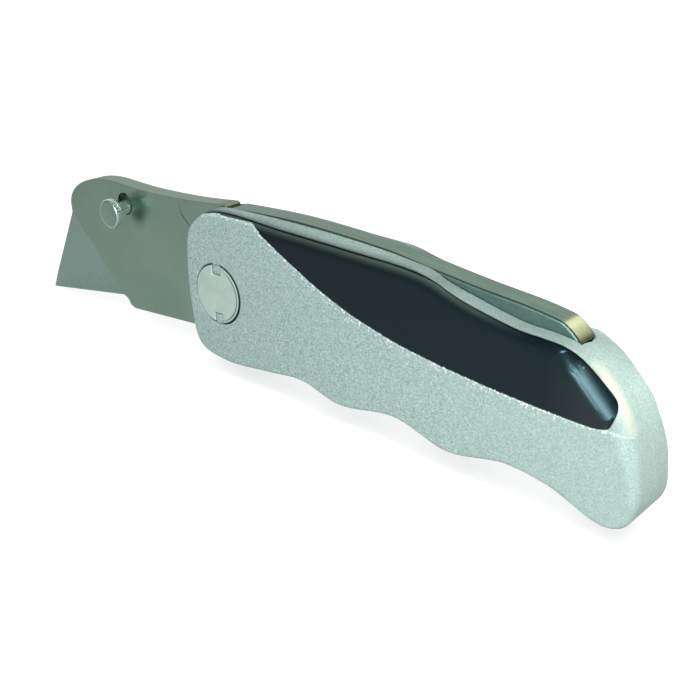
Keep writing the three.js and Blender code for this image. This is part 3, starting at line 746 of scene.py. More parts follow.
def button_plating():
    """Bright plating; the head's turned face is rougher, with painted shade darkening it."""
    finish, places, cloud, pits, patchy = plating("button_plating")
    face = places.parts()[1].falling(HALF - CARRIER_HALF - 4.5, 8)
    bright = finish.mixed(patchy, (196, 216, 206), (224, 236, 228))
    # Painted shade: a darker copy of the plating for the head's turned face.
    face_shade_tone = finish.mixed(patchy, (116, 142, 130), (146, 172, 158))
    return finish.surface(
        pits + cloud, 0.01, 0.4, Base_Color=finish.mixed(face, bright, face_shade_tone), Metallic=0.9,
        Roughness=0.2 + cloud * 0.1 + face * 0.12,
    )


def disc_plating():
    """Matt plating on the pivot's discs, with painted shade in the turned groove round the edge and on the
    rim, on the butt's side.
    """
    finish, places, cloud, pits, patchy = plating("disc_plating")
    radius = (places * (1, 0, 1)).length()
    along = places.parts()[0]
    # A shallow groove in the bump, with painted shade in it on the butt's side of the disc.
    groove = radius.banded(DISC_RADIUS - 0.55, 1.3, 6) * (along * 0.3 - 0.2).clipped()
    # Painted shade on the disc's outer rim, strongest on the butt's side.
    rim = radius.rising(DISC_RADIUS - 0.14, 12) * (along * 0.12 + 0.5).clipped()
    base = finish.layered(
        finish.mixed(patchy, (172, 197, 189), (200, 214, 203)),
        (groove * 0.85, (50, 78, 80)), (rim, (60, 84, 84)),
    )
    return finish.surface(
        pits + cloud - groove * 2, 0.01, 0.4, Base_Color=base, Metallic=0.35,
        Roughness=0.4 + cloud * 0.1 + pits * 0.05,
    )


def washer_brass():
    """Dull brass."""
    finish, _, cloud, pits, patchy = plating("washer_brass")
    return finish.surface(
        pits + cloud, 0.01, 0.4, Base_Color=finish.mixed(patchy, (206, 172, 104), (226, 196, 130)),
        Metallic=0.9, Roughness=0.3 + cloud * 0.1 + pits * 0.05,
    )


PAINT = flaked_paint()
BLACK = gloss_moulding()
CARRIER_STEEL = carrier_steel()
BAR_STEEL = lock_bar_steel()
BLADE_STEEL = ground_steel("blade_steel", (158, 186, 176), (170, 197, 188), (0.1, 4.0, 4.0), 0.2, 0.2)
PIN_STEEL = ground_steel("pin_steel", (170, 180, 174), (200, 208, 202), (2.0, 0.2, 2.0), 0.25)
SPRING_STEEL = ground_steel("spring_steel", (140, 148, 146), (172, 180, 176), (0.2, 2.0, 2.0), 0.3)
BUTTON_STEEL = button_plating()
DISC_PLATING = disc_plating()
BRASS = washer_brass()


# ------------------------------------------------------------ the handle's lines
OUTLINE = smooth_loop(
    [
        (-FRONT + 0.75, -4.2), (-FRONT + 3.5, 1.7 - BELLY), (1.6, -BELLY),
        (FIRST_GROOVE - 10, 1.4 - BELLY), (FIRST_GROOVE - 0.8, 2.6 - BELLY),
        (FIRST_GROOVE + 8.7, 0.85 - BELLY), (MIDDLE_GROOVE - 1.1, 3.1 - BELLY),
        (MIDDLE_GROOVE + 10.7, 0.75 - BELLY), (LAST_GROOVE - 0.7, 3.15 - BELLY),
        (BUTT - 15.5, 2.4 - BELLY), (BUTT - 11, 0.95 - BELLY), (BUTT - 7.2, -0.35 - BELLY),
        (BUTT - 4.0, -0.6 - BELLY), (BUTT - 1.2, -13.4), (BUTT + 0.1, -10.4), (BUTT + 0.15, -7.0),
        (BUTT - 2.6, 2.4), (BUTT - 8.8, 10.4), (BUTT - 14.6, DIPPED - 0.45),
        (BUTT - 18.6, DIPPED + 0.02), (BUTT - 24.5, DIPPED + 0.1), (BUTT - 34, DIPPED + 1.65),
        (BUTT - 40, DIPPED + 2.9), (BUTT - 43.5, DIPPED + 4.05), (BUTT - 48, SPINE - 0.4),
        (BUTT - 54, SPINE - 0.1), (BUTT - 66, SPINE), (9, SPINE - 0.7), (-2.6, SPINE - 1.9),
        (-FRONT + 2.5, SPINE - 4.2), (-FRONT + 0.4, SPINE - 8.2), (-FRONT, SPINE - 12.4),
    ],
    0.5,
)


def panel_edge():
    """The sweep that parts the panel from the inlay, a little rough as cast."""
    line = smooth(
        [
            (-16, SPINE - 7.0), (-4.4, SPINE - 3.25), (-1.0, SPINE - 2.42), (3.4, SPINE - 2.1),
            (7.6, SPINE - 1.92), (9.9, SPINE - 2.1), (13.6, 14.7), (20.6, 11.4), (27.6, 8.4), (37, 5.4),
            (49, 3.2), (64, 1.95), (76, 1.6), (BUTT - 9.6, 1.6), (BUTT - 6.6, 1.95), (BUTT - 4.2, 2.0),
            (BUTT + 3, 1.2),
        ],
        0.3,
    )
    rough = np.random.default_rng(7).normal(0, 0.05, len(line))
    line[:, 1] += rough * ease((line[:, 0] - 8) / 4) * ease((BUTT - 12 - line[:, 0]) / 4)
    return Line(line)


def rim_line():
    """The inlay's border along the butt and the spine."""
    low = DIPPED - 0.6
    return Line(smooth(
        [
            (BUTT - 9.0, -1.5), (BUTT - 6.6, 2.0), (BUTT - 5.8, 3.9), (BUTT - 5.5, 5.8),
            (BUTT - 6.5, 7.6), (BUTT - 9.4, 10.1), (BUTT - 12.5, 12.15), (BUTT - 15.6, low),
            (BUTT - 19, low + 0.2), (BUTT - 23.4, low + 0.2), (BUTT - 28, low + 0.75),
            (BUTT - 34, low + 1.75), (BUTT - 38, low + 2.75), (BUTT - 41.5, low + 3.7),
            (BUTT - 44.6, SPINE - 1.35), (BUTT - 48, SPINE - 1.2), (BUTT - 54, SPINE - 1.25),
            (BUTT - 66, SPINE - 1.4), (16, SPINE - 1.6), (8.5, SPINE - 1.62), (3.2, SPINE - 1.75),
            (-0.6, SPINE - 2.1), (-3.4, SPINE - 2.75), (-5.5, SPINE - 3.8),
        ],
        0.45,
    ))


PANEL = panel_edge()
RIM = rim_line()


def edge_round(spots):
    """The width and depth of a casting's outer rounding: full along the spine and wide at the butt."""
    x, z = spots[:, 0], spots[:, 1]
    spine = ease((50 - x) / 9) * ease((z - 12) / 3)
    butt = ease((x - 76) / 8)
    heights = [-13.5, -12, -9.3, -6.8, -2.8, 1.3, 5, 10, 14]
    wide = np.interp(z, heights, [0.5, 0.7, 1.3, 1.8, 2.3, 2.8, 2.0, 1.8, 1.4])
    dip = ease((x - 50) / 6) * ease((78 - x) / 6) * ease((z - 5) / 3)
    width = 0.5 - 0.2 * dip + 0.9 * spine + (wide - 0.5) * butt
    return width, width + 1.3 * spine - 0.5 * butt * ease((width - 1) / 1.5)


def solid_butt(spots):
    """How far inside the castings' solid end a spot is."""
    x, z = spots[:, 0], spots[:, 1]
    room = np.maximum(x - SLOT_END, BLOCK_TOP - z)
    return np.minimum.reduce([x - LOCK_PIN[0] - 6, np.hypot(x, z) - SWING - 1, room])


def with_steps(places, *tests):
    """The closed line of places, with a pair of close ones wherever a test changes sign along it."""
    for test in tests:
        values, fresh = test(places), []
        following = zip(np.roll(places, -1, axis=0), np.roll(values, -1))
        for here, value, (there, later) in zip(places, values, following):
            fresh.append(here)
            if value * later < 0:
                run = there - here
                crossing = here + run * (value / (value - later))
                step = run / np.hypot(*run) * 0.02
                fresh += [crossing - step, crossing + step]
        places = np.array(fresh)
    return Line(places, closed=True)


SCALE = with_steps(OUTLINE, PANEL.away, solid_butt)


# ------------------------------------------------------------ castings
def key_outline(grow, reach, axis):
    """The places round a pivot key grown by a distance, from its reach inwards and back."""
    c, s = axis
    inner, across = KEY_INNER - grow, KEY_WIDTH / 2 + grow
    local = even([(reach, -across), (inner, -across), (inner, across), (reach, across)], 0.25)
    return np.stack([local[:, 0] * c - local[:, 1] * s, local[:, 0] * s + local[:, 1] * c], axis=1)


def in_seat(spots):
    """How far inside the pivot's seat a spot is; the keys are outside it."""
    x, z = spots[:, 0], spots[:, 1]
    room = [DISC_RADIUS + SEAT_GAP - radius_from(spots, 0, 0)]
    for c, s in KEY_AXES:
        room.append(np.maximum(KEY_INNER - (x * c + z * s), abs(z * c - x * s) - KEY_WIDTH / 2))
    return np.minimum.reduce(room)


def casting_depth(spots, screws):
    """How far below the handle's full thickness a casting's outer face lies."""
    above, within = PANEL.away(spots), RIM.away(spots)
    rise = PANEL_RISE * ease((BUTT - 0.9 - spots[:, 0]) / 2.6)
    lower = 0.35 + 0.85 * ease((58 - spots[:, 0]) / 10)
    panel = np.where(above > 0, rise * ramp(above / WALL), fillet(-above, 0.12) * rise / PANEL_RISE)
    bead = fillet(-within, 0.35 + 0.5 * lower, lower)
    rim = np.where(above > 0, rise + bead * ramp(above / WALL), panel)
    pocket = ramp(np.minimum(above, within) / WALL)
    border = np.where(above < within, rise, rise + lower)
    floor = PANEL_RISE + INLAY_DEPTH
    depth = np.where((above > 0) & (within > 0), border + (floor - border) * pocket, rim)
    depth = depth + fillet(SCALE.away(spots), *edge_round(spots))
    depth = sunk(depth, in_seat(spots), DISC_HEIGHT + 0.15, 0.26)
    for place in screws:
        depth = sunk(depth, SCREW_SEAT - radius_from(spots, *place), 1.8, 0.2)
    return depth


def casting_inner(spots):
    """How far from the middle plane a casting's inner face lies."""
    x, z = spots[:, 0], spots[:, 1]
    height = WALL_INNER + (SEAM / 2 - WALL_INNER) * ramp(solid_butt(spots) / WALL)
    groove = np.sqrt(np.maximum(SPRING_GROOVE**2 - (x - SPRING_X) ** 2, 0))
    height = np.where(z > SPRING_FLOOR, np.maximum(height, groove), height)
    for place, radius in PIN_HOLLOWS:
        height = height + (PIN_REACH - height) * ramp((radius - radius_from(spots, *place)) / WALL)
    return height + fillet(SCALE.away(spots), SEAM_ROUND)


def casting_outer_lines(screws):
    """The lines along which a casting's outer face turns."""
    seat = DISC_RADIUS + SEAT_GAP
    lines = rounding_lines(SCALE, edge_round(SCALE.places)[0])
    lines += [PANEL.moved(d) for d in (-0.3, -0.12, -0.06, -0.02, 0, WALL, 0.15)]
    lines += [RIM.moved(d) for d in (-1.0, -0.75, -0.55, -0.38, -0.24, -0.13, -0.05, 0, WALL, 0.15)]
    lines += rings(0, 0, seat, 96, (0.5, 0.26, 0.16, 0.09, 0.03, 0, -WALL, -0.2))
    for grow in (-0.2, -0.14, -0.06, 0, WALL):
        lines += [Line(key_outline(grow, seat + 0.1, axis)) for axis in KEY_AXES]
    for place in screws:
        lines += rings(*place, SCREW_SEAT, 56, (0.35, 0.2, 0.1, 0.03, 0, -WALL, -0.2))
    return lines


def casting_inner_lines():
    """The lines along which a casting's inner face turns."""
    lines = [SCALE.moved(SEAM_ROUND * u) for u in (0.1, 0.3, 0.6, 1.0, 1.3)]
    for d in (0, WALL):
        room = [(40, BLOCK_TOP - d), (SLOT_END + d, BLOCK_TOP - d), (SLOT_END + d, SPINE + 2)]
        lines += [Line(arc(0, 0, SWING + 1 + d, -30, 30, 120)), Line(even(room, 0.8))]
        lines += [circle(*place, radius - d, 24) for place, radius in PIN_HOLLOWS]
    for x in np.linspace(SPRING_X - SPRING_GROOVE, SPRING_X + SPRING_GROOVE, 13):
        lines.append(Line([(x, SPRING_FLOOR), (x, BLOCK_TOP)]))
    for z in (SPRING_FLOOR, SPRING_FLOOR - 0.02):
        lines.append(Line([(SPRING_X - 2.1, z), (SPRING_X + 2.1, z)]))
    return lines


def spots_of(piece):
    """The places of a piece's corners in the frame, in millimetres."""
    spots = np.empty(len(piece.data.vertices) * 3)
    piece.data.vertices.foreach_get("co", spots)
    return spots.reshape(-1, 3) * 1000


def lower_far_outline(piece):
    """Makes the far half a little lower than the near one along the spine, and fuller at the butt."""
    spots = spots_of(piece)
    x, z = spots[:, 0], spots[:, 2]
    near_edge = ease((4 - SCALE.away(spots[:, (0, 2)])) / 3)
    outwards = ramp(spots[:, 1] / HALF - 1)
    low = FAR_SPINE_DROP * ease((x + 8) / 6) * ease((48 - x) / 20) * ease((z - 13) / 4)
    low += 1.5 * ease((x - 40) / 9) * ease((66 - x) / 9) * ease((z - 9) / 3) * near_edge
    tail = ease((x - 74) / 4) * (1 - 0.6 * ease((x - 76) / 3))
    low += 1.3 * tail * ease((z - 5) / 5) * near_edge * outwards
    fuller = 0.4 * ease((x - 80) / 6) * ease((z + 7) / 5) * ease((10 - z) / 5)
    spots[:, 0] += fuller * near_edge * outwards
    spots[:, 2] -= low
    piece.data.vertices.foreach_set("co", (spots / 1000).ravel())


def map_edges(piece):
    """Adds a map in millimetres: U from the panel's edge, and V from the inlay's border."""
    mesh = piece.data
    spots = spots_of(piece)[:, (0, 2)]
    places = np.stack([np.clip(line.away(spots), -2, 2) for line in (PANEL, RIM)], axis=1)
    corners = np.empty(len(mesh.loops), int)
    mesh.loops.foreach_get("vertex_index", corners)
    mesh.uv_layers.new(name="edges").data.foreach_set("uv", places[corners].ravel())


def handle_side(name, loops, far_side, *faces):
    """A casting or an inlay, mapped along its edges."""
    piece = half_piece(name, loops, far_side, *faces)
    if far_side:
        lower_far_outline(piece)
    map_edges(piece)
    return piece


def casting(name, far_side, screws):
    """One half of the handle."""
    return handle_side(
        name, [SCALE, barrel_hole()], far_side, lambda s: casting_depth(s, screws), casting_inner,
        casting_outer_lines(screws), casting_inner_lines(),
    )


# ------------------------------------------------------------ inlays
CROWN_EDGE = Line([(BUTT + 2.4, -0.57), (BUTT - 6.0, 6.63), (BUTT - 12.5, 12.2), (BUTT - 22.3, 20.6)])


def inlay(name, far_side):
    """A black inlay, crowned along the rim and flat where it meets the panel."""
    panel, rim = PANEL.moved(INLAY_GAP), RIM.moved(INLAY_GAP)
    loop = between(panel, rim)

    def depth(spots):
        rear = ease((spots[:, 0] - 76) / 5)
        crown = fillet(RIM.away(spots) - INLAY_GAP, 2.2, 0.95)
        crown = np.maximum(crown, rear * 1.9 * (1 - ramp(CROWN_EDGE.away(spots) / 4.8)) ** 2)
        crown = np.maximum(crown, fillet(loop.away(spots), 0.1)) + 0.04
        return crown + (0.85 - 0.6 * rear) * fillet(SCALE.away(spots), *edge_round(spots))

    lines = [RIM.moved(INLAY_GAP + d) for d in (0.03, 0.12, 0.3, 0.55, 0.85, 1.2, 1.6, 2.0, 2.4, 2.8)]
    lines += [CROWN_EDGE.moved(d) for d in (0.6, 1.2, 1.8, 2.4, 3.0, 3.6, 4.2, 4.8)]
    lines += [PANEL.moved(INLAY_GAP + d) for d in (0.02, 0.05, 0.1, 0.3, 0.8)]
    back = HALF - PANEL_RISE - INLAY_DEPTH - 0.6
    return handle_side(name, [loop], far_side, depth, flat(back), lines, ())


# ------------------------------------------------------------ pivot and screws
def notched_disc():
    """The pivot disc's outline with its two notches."""
    gap = 0.15
    opening = math.degrees(math.asin((KEY_WIDTH / 2 + gap) / DISC_RADIUS))
    places = []
    for turn, axis in zip(KEY_ANGLES, KEY_AXES):
        places.append(key_outline(gap, 5.9, axis))
        places.append(arc(0, 0, DISC_RADIUS, turn + opening, turn + 180 - opening, 44))
    return Line(np.vstack(places), closed=True)


def pivot_disc(name, far_side):
    """The near disc carries the barrel; the far one has the shank and a hexagon socket."""
    loop = notched_disc()
    under = HALF - DISC_HEIGHT
    barrel_gap = 0.15

    def depth(spots):
        drop = fillet(loop.away(spots), CAP_ROUND)
        if far_side:
            drop = sunk(drop, in_hexagon(spots, 0, 0), DISC_HEIGHT, 0.08)
        return drop - DISC_PROUD

    def inner(spots):
        radius = radius_from(spots, 0, 0)
        if far_side:
            return under * (1 - ramp((SHANK_RADIUS - radius) / WALL))
        barrel = under + (barrel_gap - 2 * under) * ramp((BARREL_RADIUS - radius) / WALL)
        return barrel + (1 - barrel_gap + under) * ramp((SHANK_RADIUS + 0.1 - radius) / WALL)

    faces = rounding_lines(loop, CAP_ROUND)
    if far_side:
        faces += hexagon_lines(0, 0)
        backs = rings(0, 0, SHANK_RADIUS, 48)
    else:
        backs = rings(0, 0, SHANK_RADIUS + 0.1, 48) + rings(0, 0, BARREL_RADIUS, 48)
    return half_piece(name, [loop], far_side, depth, inner, faces, backs)


def in_hexagon(spots, x, z):
    """How far inside a hexagon socket a spot is."""
    sides = []
    for angle in np.radians(range(30, 390, 60)):
        across = (spots[:, 0] - x) * math.cos(angle) + (spots[:, 1] - z) * math.sin(angle)
        sides.append(SOCKET_RADIUS * math.cos(math.radians(30)) - across)
    return np.minimum.reduce(sides)


def hexagon_lines(x, z):
    """Lines round a hexagon socket, outside it and down its wall."""
    grown = [SOCKET_RADIUS + d / math.cos(math.radians(30)) for d in (0.12, 0.05, 0, -WALL)]
    return [polygon(list(arc(x, z, radius, 0, 360, 6)[:-1]), 0.4) for radius in grown]


def butt_screw(name, x, z):
    """A flush cap screw with a hexagon socket, and its shank."""
    loop = circle(x, z, SCREW_HEAD, 56)
    top, under = HALF - 0.15, HALF - 1.65

    def face(spots):
        return top - sunk(fillet(loop.away(spots), CAP_ROUND), in_hexagon(spots, x, z), 0.9, 0.08)

    def back(spots):
        return under + (1.7 - HALF - under) * ramp((SCREW_SHANK - radius_from(spots, x, z)) / WALL)

    faces = rounding_lines(loop, CAP_ROUND) + hexagon_lines(x, z)
    return solid_piece(name, [loop], back, face, rings(x, z, SCREW_SHANK, 32), faces)


# ------------------------------------------------------------ blade
def blade():
    """A trapezoid blade with its ground edge and two notches in the back."""
    notch, grind, bevel = 1.4, 3.2, 0.55
    corners = [on_blade(0, 0), on_blade(BLADE_LENGTH, 0), on_blade(BLADE_LENGTH - BLADE_RUN, BLADE_HEIGHT)]
    for along in (LATCH_NOTCH, BLADE_LENGTH - LATCH_NOTCH):
        for side, down in ((notch, 0), (notch, 2.7), (-notch, 2.7), (-notch, 0)):
            corners.append(on_blade(along + side, BLADE_HEIGHT - down))
    corners.append(on_blade(BLADE_RUN, BLADE_HEIGHT))
    loop = polygon(corners, 0.8)

    def half(spots):
        c, s = math.cos(BLADE_TILT), math.sin(BLADE_TILT)
        up = (spots[:, 1] - TIP[1]) * c - (spots[:, 0] - TIP[0]) * s
        ground = np.interp(up, [0, bevel, grind], [0.02, 0.1, 0.3])
        edge = np.minimum(loop.away(spots), np.maximum(0, up + 3))
        return ground - np.where(up > 1, fillet(edge, 0.05), 0)

    lines = []
    for up in (bevel, grind):
        inset = 0.3 + up * 0.75
        lines.append(Line([on_blade(inset, up), on_blade(BLADE_LENGTH - inset, up)]))
    lines += [loop.moved(d) for d in (0.02, 0.05)]
    return solid_piece("blade_visual", [loop], lambda s: -half(s), half, lines, lines)


# ------------------------------------------------------------ carrier
def cut_at(x):
    """The height of the cutting edge's line."""
    return TIP[1] + (x - TIP[0]) * math.tan(BLADE_TILT)


def carrier_loop():
    """The carrier's side, against the clock from the step at its lower front."""
    front = (-STEP + 3.6, cut_at(-STEP) - 1.5)
    rear = (-6.6, front[1] + (-6.6 - front[0]) * math.tan(math.radians(6.5)))
    step_top = cut_at(-STEP) + 0.7
    step = smooth(
        [(-STEP, step_top), (-STEP + 1.3, step_top - 0.6), (-STEP + 2.2, front[1] + 0.5), front], 0.25
    )
    lower = even([front, rear], 0.6)[1:]
    tang = arc(0, 0, TANG_RADIUS, -114, math.degrees(math.atan2(TANG_RADIUS, -1.0)), 90)
    face = [(-1.0, TANG_RADIUS + 0.1), (-1.0, TANG_TOP - 1.6), (-1.25, TANG_TOP - 0.3)]
    shoulder = [(-13, CARRIER_TOP + 1.1), (-NOSE + 26.8, CARRIER_TOP + 0.1), (-NOSE + 17, CARRIER_TOP)]
    top = smooth([(-1.7, TANG_TOP)] + shoulder, 0.6)
    turn = np.linspace(0, math.pi / 2, 40)[1:]
    nose = np.stack([-NOSE + 17 * (1 - np.sin(turn)), CARRIER_TOP - 8.5 * (1 - np.cos(turn))], axis=1)
    slant = even([(-NOSE + 0.2, CARRIER_TOP - 10.7), (-STEP, step_top)], 0.6)[:-1]
    return Line(np.vstack([step, lower, tang, face, top, nose, slant]), closed=True)


def behind_blade(down, offset):
    """A place offset square from the blade's slanted rear end."""
    top = np.array(on_blade(BLADE_LENGTH - BLADE_RUN, BLADE_HEIGHT))
    along = np.array(on_blade(BLADE_LENGTH, 0)) - top
    along /= np.hypot(*along)
    return tuple(top + along * down + np.array([-along[1], along[0]]) * offset)


def carrier():
    """Two plates joined along the top, with the blade's slot between them."""
    loop = carrier_loop()
    hole = (BUTTON[0], BUTTON[1] + 0.85, 2.4)
    recess = (*BUTTON, 3.0)
    slit = Line([behind_blade(3.9, 7.45), behind_blade(9.0, 7.45)])

    def sunk_plate(spots, x, z, radius, rounding):
        edge = fillet(loop.away(spots), CARRIER_ROUND)
        return sunk(edge, radius - radius_from(spots, x, z), 1.75, rounding)

    def near(spots):
        depth = sunk_plate(spots, *hole, 0.12)
        return sunk(depth, 0.1 - abs(slit.away(spots)), 0.6, 0.03) - CARRIER_HALF

    def far(spots):
        return CARRIER_HALF - sunk_plate(spots, *recess, 0.1)

    edges = rounding_lines(loop, CARRIER_ROUND)
    nears = edges + rings(*hole, 56, (0.3, 0.12, 0.05, 0, -WALL))
    nears += [slit.moved(d) for d in (-0.25, -0.13, -0.1, -0.06, 0.06, 0.1, 0.13, 0.25)]
    fars = edges + rings(*recess, 56, (0.25, 0.1, 0.03, 0, -WALL))
    body = solid_piece("blade_carrier_plates", [loop, barrel_hole()], near, far, nears, fars)
    roof = CARRIER_TOP - 2
    end = np.hypot(BLADE_RUN, BLADE_HEIGHT)
    slot = [
        on_blade(-12, -0.4), on_blade(BLADE_LENGTH + 0.4, -0.4), behind_blade(end, 3.4), behind_blade(0, 3.4),
        (BUTTON[0] + 9, roof), (BUTTON[0] - 8, roof), on_blade(LATCH_NOTCH - 10.5, BLADE_HEIGHT + 0.4),
        on_blade(-12, BLADE_HEIGHT + 0.4),
    ]
    return cut(body, solid_piece("slot_cutter", [polygon(slot, 200)], flat(-SLOT_HALF), flat(SLOT_HALF)))


# ------------------------------------------------------------ lock bar
def lock_bar():
    """The bar along the spine, with its thumb ledge and the slanted facet behind it."""
    front = -0.6
    facet_top = LOCK_END - 3.7
    tail, arris = (LOCK_END, LOCK_UNDERSIDE + 0.5), (facet_top - 0.9, DIPPED + 2.2)
    nose = [(x, TANG_RADIUS + 0.5) for x in (front, 2.2, 5)]
    low = even([(7, LOCK_UNDERSIDE), (LOCK_END - 0.6, LOCK_UNDERSIDE)], 0.8)
    facet = smooth(
        [
            tail, (LOCK_END - 0.3, DIPPED - 0.35), (LOCK_END - 1.1, DIPPED + 0.4),
            (LOCK_END - 2.2, DIPPED + 1.25), (facet_top + 0.2, DIPPED + 1.95), arris,
        ],
        0.3,
    )[1:-1]
    top = smooth(
        [
            arris, (facet_top - 6.5, DIPPED + 2.8), (BUTT - 34, DIPPED + 3.3), (BUTT - 45, SPINE - 0.75),
            (BUTT - 56, SPINE + 0.1), (18, SPINE), (front + 1.3, TANG_TOP - 0.1),
        ],
        0.6,
    )
    loop = Line(np.vstack([nose, low, [tail], facet, top, [(front, TANG_TOP - 1.4)]]), closed=True)
    near, far = 0.5, 0.2
    return solid_piece(
        "lock_bar_visual", [loop], lambda s: fillet(loop.away(s), near) - LOCK_HALF,
        lambda s: LOCK_HALF - fillet(loop.away(s), far),
        rounding_lines(loop, near), rounding_lines(loop, far),
    )


# ------------------------------------------------------------ pieces that Geometry Nodes make
class Tree(Nodes):
    """A Geometry Nodes tree under construction, with named inputs."""

    def __init__(self, name, sizes):
        self.tree = bpy.data.node_groups.new(name, "GeometryNodeTree")
        self.values = {}
        new_socket = self.tree.interface.new_socket
        for way in ("INPUT", "OUTPUT"):
            new_socket("Geometry", in_out=way, socket_type="NodeSocketGeometry")
        kinds = {int: "NodeSocketInt", float: "NodeSocketFloat", Vector: "NodeSocketVector"}
        for label, size in sizes.items():
            socket = new_socket(label, in_out="INPUT", socket_type=kinds[type(size)])
            self.values[socket.identifier] = size
        self.inputs = self.tree.nodes.new("NodeGroupInput").outputs

    def __getitem__(self, label):
        """One of the tree's inputs."""
        return Wire(self, self.inputs[label])

    def transformed(self, geometry, **sockets):
        return self.node("GeometryNodeTransform", {"Geometry": geometry, **sockets})

    def worked_into(self, piece, geometry, finish):
        """Ends the tree, and gives the piece as a plain mesh."""
        real = self.node("GeometryNodeRealizeInstances", {"Geometry": geometry})
        done = self.node("GeometryNodeSetMaterial", {"Geometry": real, "Material": finish})
        self.node("NodeGroupOutput", {0: done})
        modifier = piece.modifiers.new(self.tree.name, "NODES")
        modifier.node_group = self.tree
        for identifier, size in self.values.items():
            modifier[identifier] = size
        return baked(piece)


def button_lean(y):
    """How far the loose button leans at a height off the middle plane."""
    heights = [-CARRIER_HALF - 3.9, -CARRIER_HALF, CARRIER_HALF]
    across, up = (np.interp(y, heights, leans) for leans in ([0.1, 0.6, 0.0], [-0.5, 0.38, 0.0]))
    return Vector((across, 0, up)) * 0.001


def knurled_button():
    """The release button: a stem and a head whose rim is knurled with straight teeth."""
    x, z = BUTTON
    low = -CARRIER_HALF - 3.2
    profile = [
        (0, low - 1.4), (2.6, low - 1.4), (2.85, low - 1.33), (3.0, low - 1.18), (3.0, low - 0.2),
        (2.88, low - 0.05), (2.65, low), (1.62, low), (1.5, low + 0.12), (1.5, low + 1.2),
        (1.5, -CARRIER_HALF), (1.5, CARRIER_HALF - 0.15), (1.35, CARRIER_HALF), (0, CARRIER_HALF),
    ]
    piece = turned_piece("release_button_visual", profile, x, z, 64)
    for corner in piece.data.vertices:
        corner.co += button_lean(corner.co.y * 1000 - HALF)
    centre = low - 0.69
    tree = Tree("knurled_rim", {
        "Teeth": 26, "Rim Radius": 0.00302, "Tooth Radius": 0.0002, "Tooth Length": 0.0011,
        "Centre": metres(x, centre, z) + button_lean(centre),
    })
    lying = (math.pi / 2, 0, 0)
    ring = {"Resolution": tree["Teeth"], "Radius": tree["Rim Radius"]}
    path = tree.node("GeometryNodeCurvePrimitiveCircle", ring)
    rim = tree.transformed(path, Translation=tree["Centre"], Rotation=lying)
    rod = {"Vertices": 8, "Radius": tree["Tooth Radius"], "Depth": tree["Tooth Length"]}
    tooth = tree.transformed(tree.node("GeometryNodeMeshCylinder", rod), Rotation=lying)
    teeth = tree.node("GeometryNodeInstanceOnPoints", {"Points": rim, "Instance": tooth})
    whole = tree.node("GeometryNodeJoinGeometry", {"Geometry": [tree["Geometry"], teeth]})
    return tree.worked_into(piece, whole, BUTTON_STEEL)


COIL_LOW, COIL_HIGH = (corner[2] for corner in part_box("lock_spring"))


def coil_spring():
    """The coil that lifts the lock bar's tail."""
    wire = 0.00025
    tree = Tree("coil", {
        "Turns": 6.0, "Coil Radius": 0.0015, "Wire Radius": wire, "Height": COIL_HIGH - COIL_LOW - 2 * wire,
        "Foot": Vector((SPRING_X * 0.001, HALF * 0.001, COIL_LOW + wire)),
    })
    path = tree.node("GeometryNodeCurveSpiral", {
        "Resolution": 28, "Rotations": tree["Turns"], "Start Radius": tree["Coil Radius"],
        "End Radius": tree["Coil Radius"], "Height": tree["Height"],
    })
    circle_sizes = {"Resolution": 10, "Radius": tree["Wire Radius"]}
    section = tree.node("GeometryNodeCurvePrimitiveCircle", circle_sizes)
    stood = tree.transformed(path, Translation=tree["Foot"])
    drawn = tree.node(
        "GeometryNodeCurveToMesh", {"Curve": stood, "Profile Curve": section, "Fill Caps": True}
    )
    return tree.worked_into(mesh_piece("lock_spring_coil", [], []), drawn, SPRING_STEEL)


# ------------------------------------------------------------ the leaf spring and its rivet
def leaf_spring():
    """The flat spring on the far plate, which bears on the end of the button's stem."""
    ends = [arc(*LEAF_RIVET, 2.1, -90, 90, 24), arc(*BUTTON, 2.1, 90, 270, 24)]
    loop = Line(np.vstack(ends), closed=True)
    low = CARRIER_HALF + 0.08
    lines = [loop.moved(d) for d in (0.02, 0.05, 0.1)]
    return solid_piece(
        "leaf_spring", [loop], flat(low), lambda s: low + 0.25 - fillet(loop.away(s), 0.08), (), lines
    )


def leaf_rivet():
    """The rivet that holds the leaf spring, with its domed head."""
    foot, seat = SLOT_HALF + 0.15, CARRIER_HALF + 0.33
    dome = [(1.6, seat), (1.55, seat + 0.05), (1.3, seat + 0.1), (0.8, seat + 0.14), (0, seat + 0.16)]
    return turned_piece("leaf_rivet_head", [(0, foot), (0.9, foot), (0.9, seat)] + dome, *LEAF_RIVET, 40)


# ------------------------------------------------------------ the knife
for side, screws in (("near", ()), ("far", SCREW_PLACES)):
    piece = casting(f"{side}_casting_shell", side == "far", screws)
    fitted(piece, "handle", PAINT, f"{side}_casting")
for side in ("near", "far"):
    fitted(inlay(f"{side}_inlay_crown", side == "far"), "handle", BLACK, f"{side}_inlay")
for part in ("bolt", "screw"):
    piece = pivot_disc(f"pivot_{part}_disc", part == "screw")
    fitted(piece, "handle", DISC_PLATING, f"pivot_{part}")
for number, place in enumerate(SCREW_PLACES, 1):
    piece = butt_screw(f"butt_screw_cap_{number}", *place)
    fitted(piece, "handle", DISC_PLATING, f"butt_screw_{number}")
COIL = fitted(coil_spring(), "handle", SPRING_STEEL, "lock_spring", 60)
fitted(lock_bar(), "lock_bar", BAR_STEEL, "lock_bar")
fitted(carrier(), "carrier", CARRIER_STEEL, "blade_carrier")
fitted(blade(), "carrier", BLADE_STEEL, "utility_blade", 25)
LEAF = fitted(leaf_spring(), "carrier", SPRING_STEEL, "button_spring")
fitted(leaf_rivet(), "carrier", PIN_STEEL, "spring_rivet")
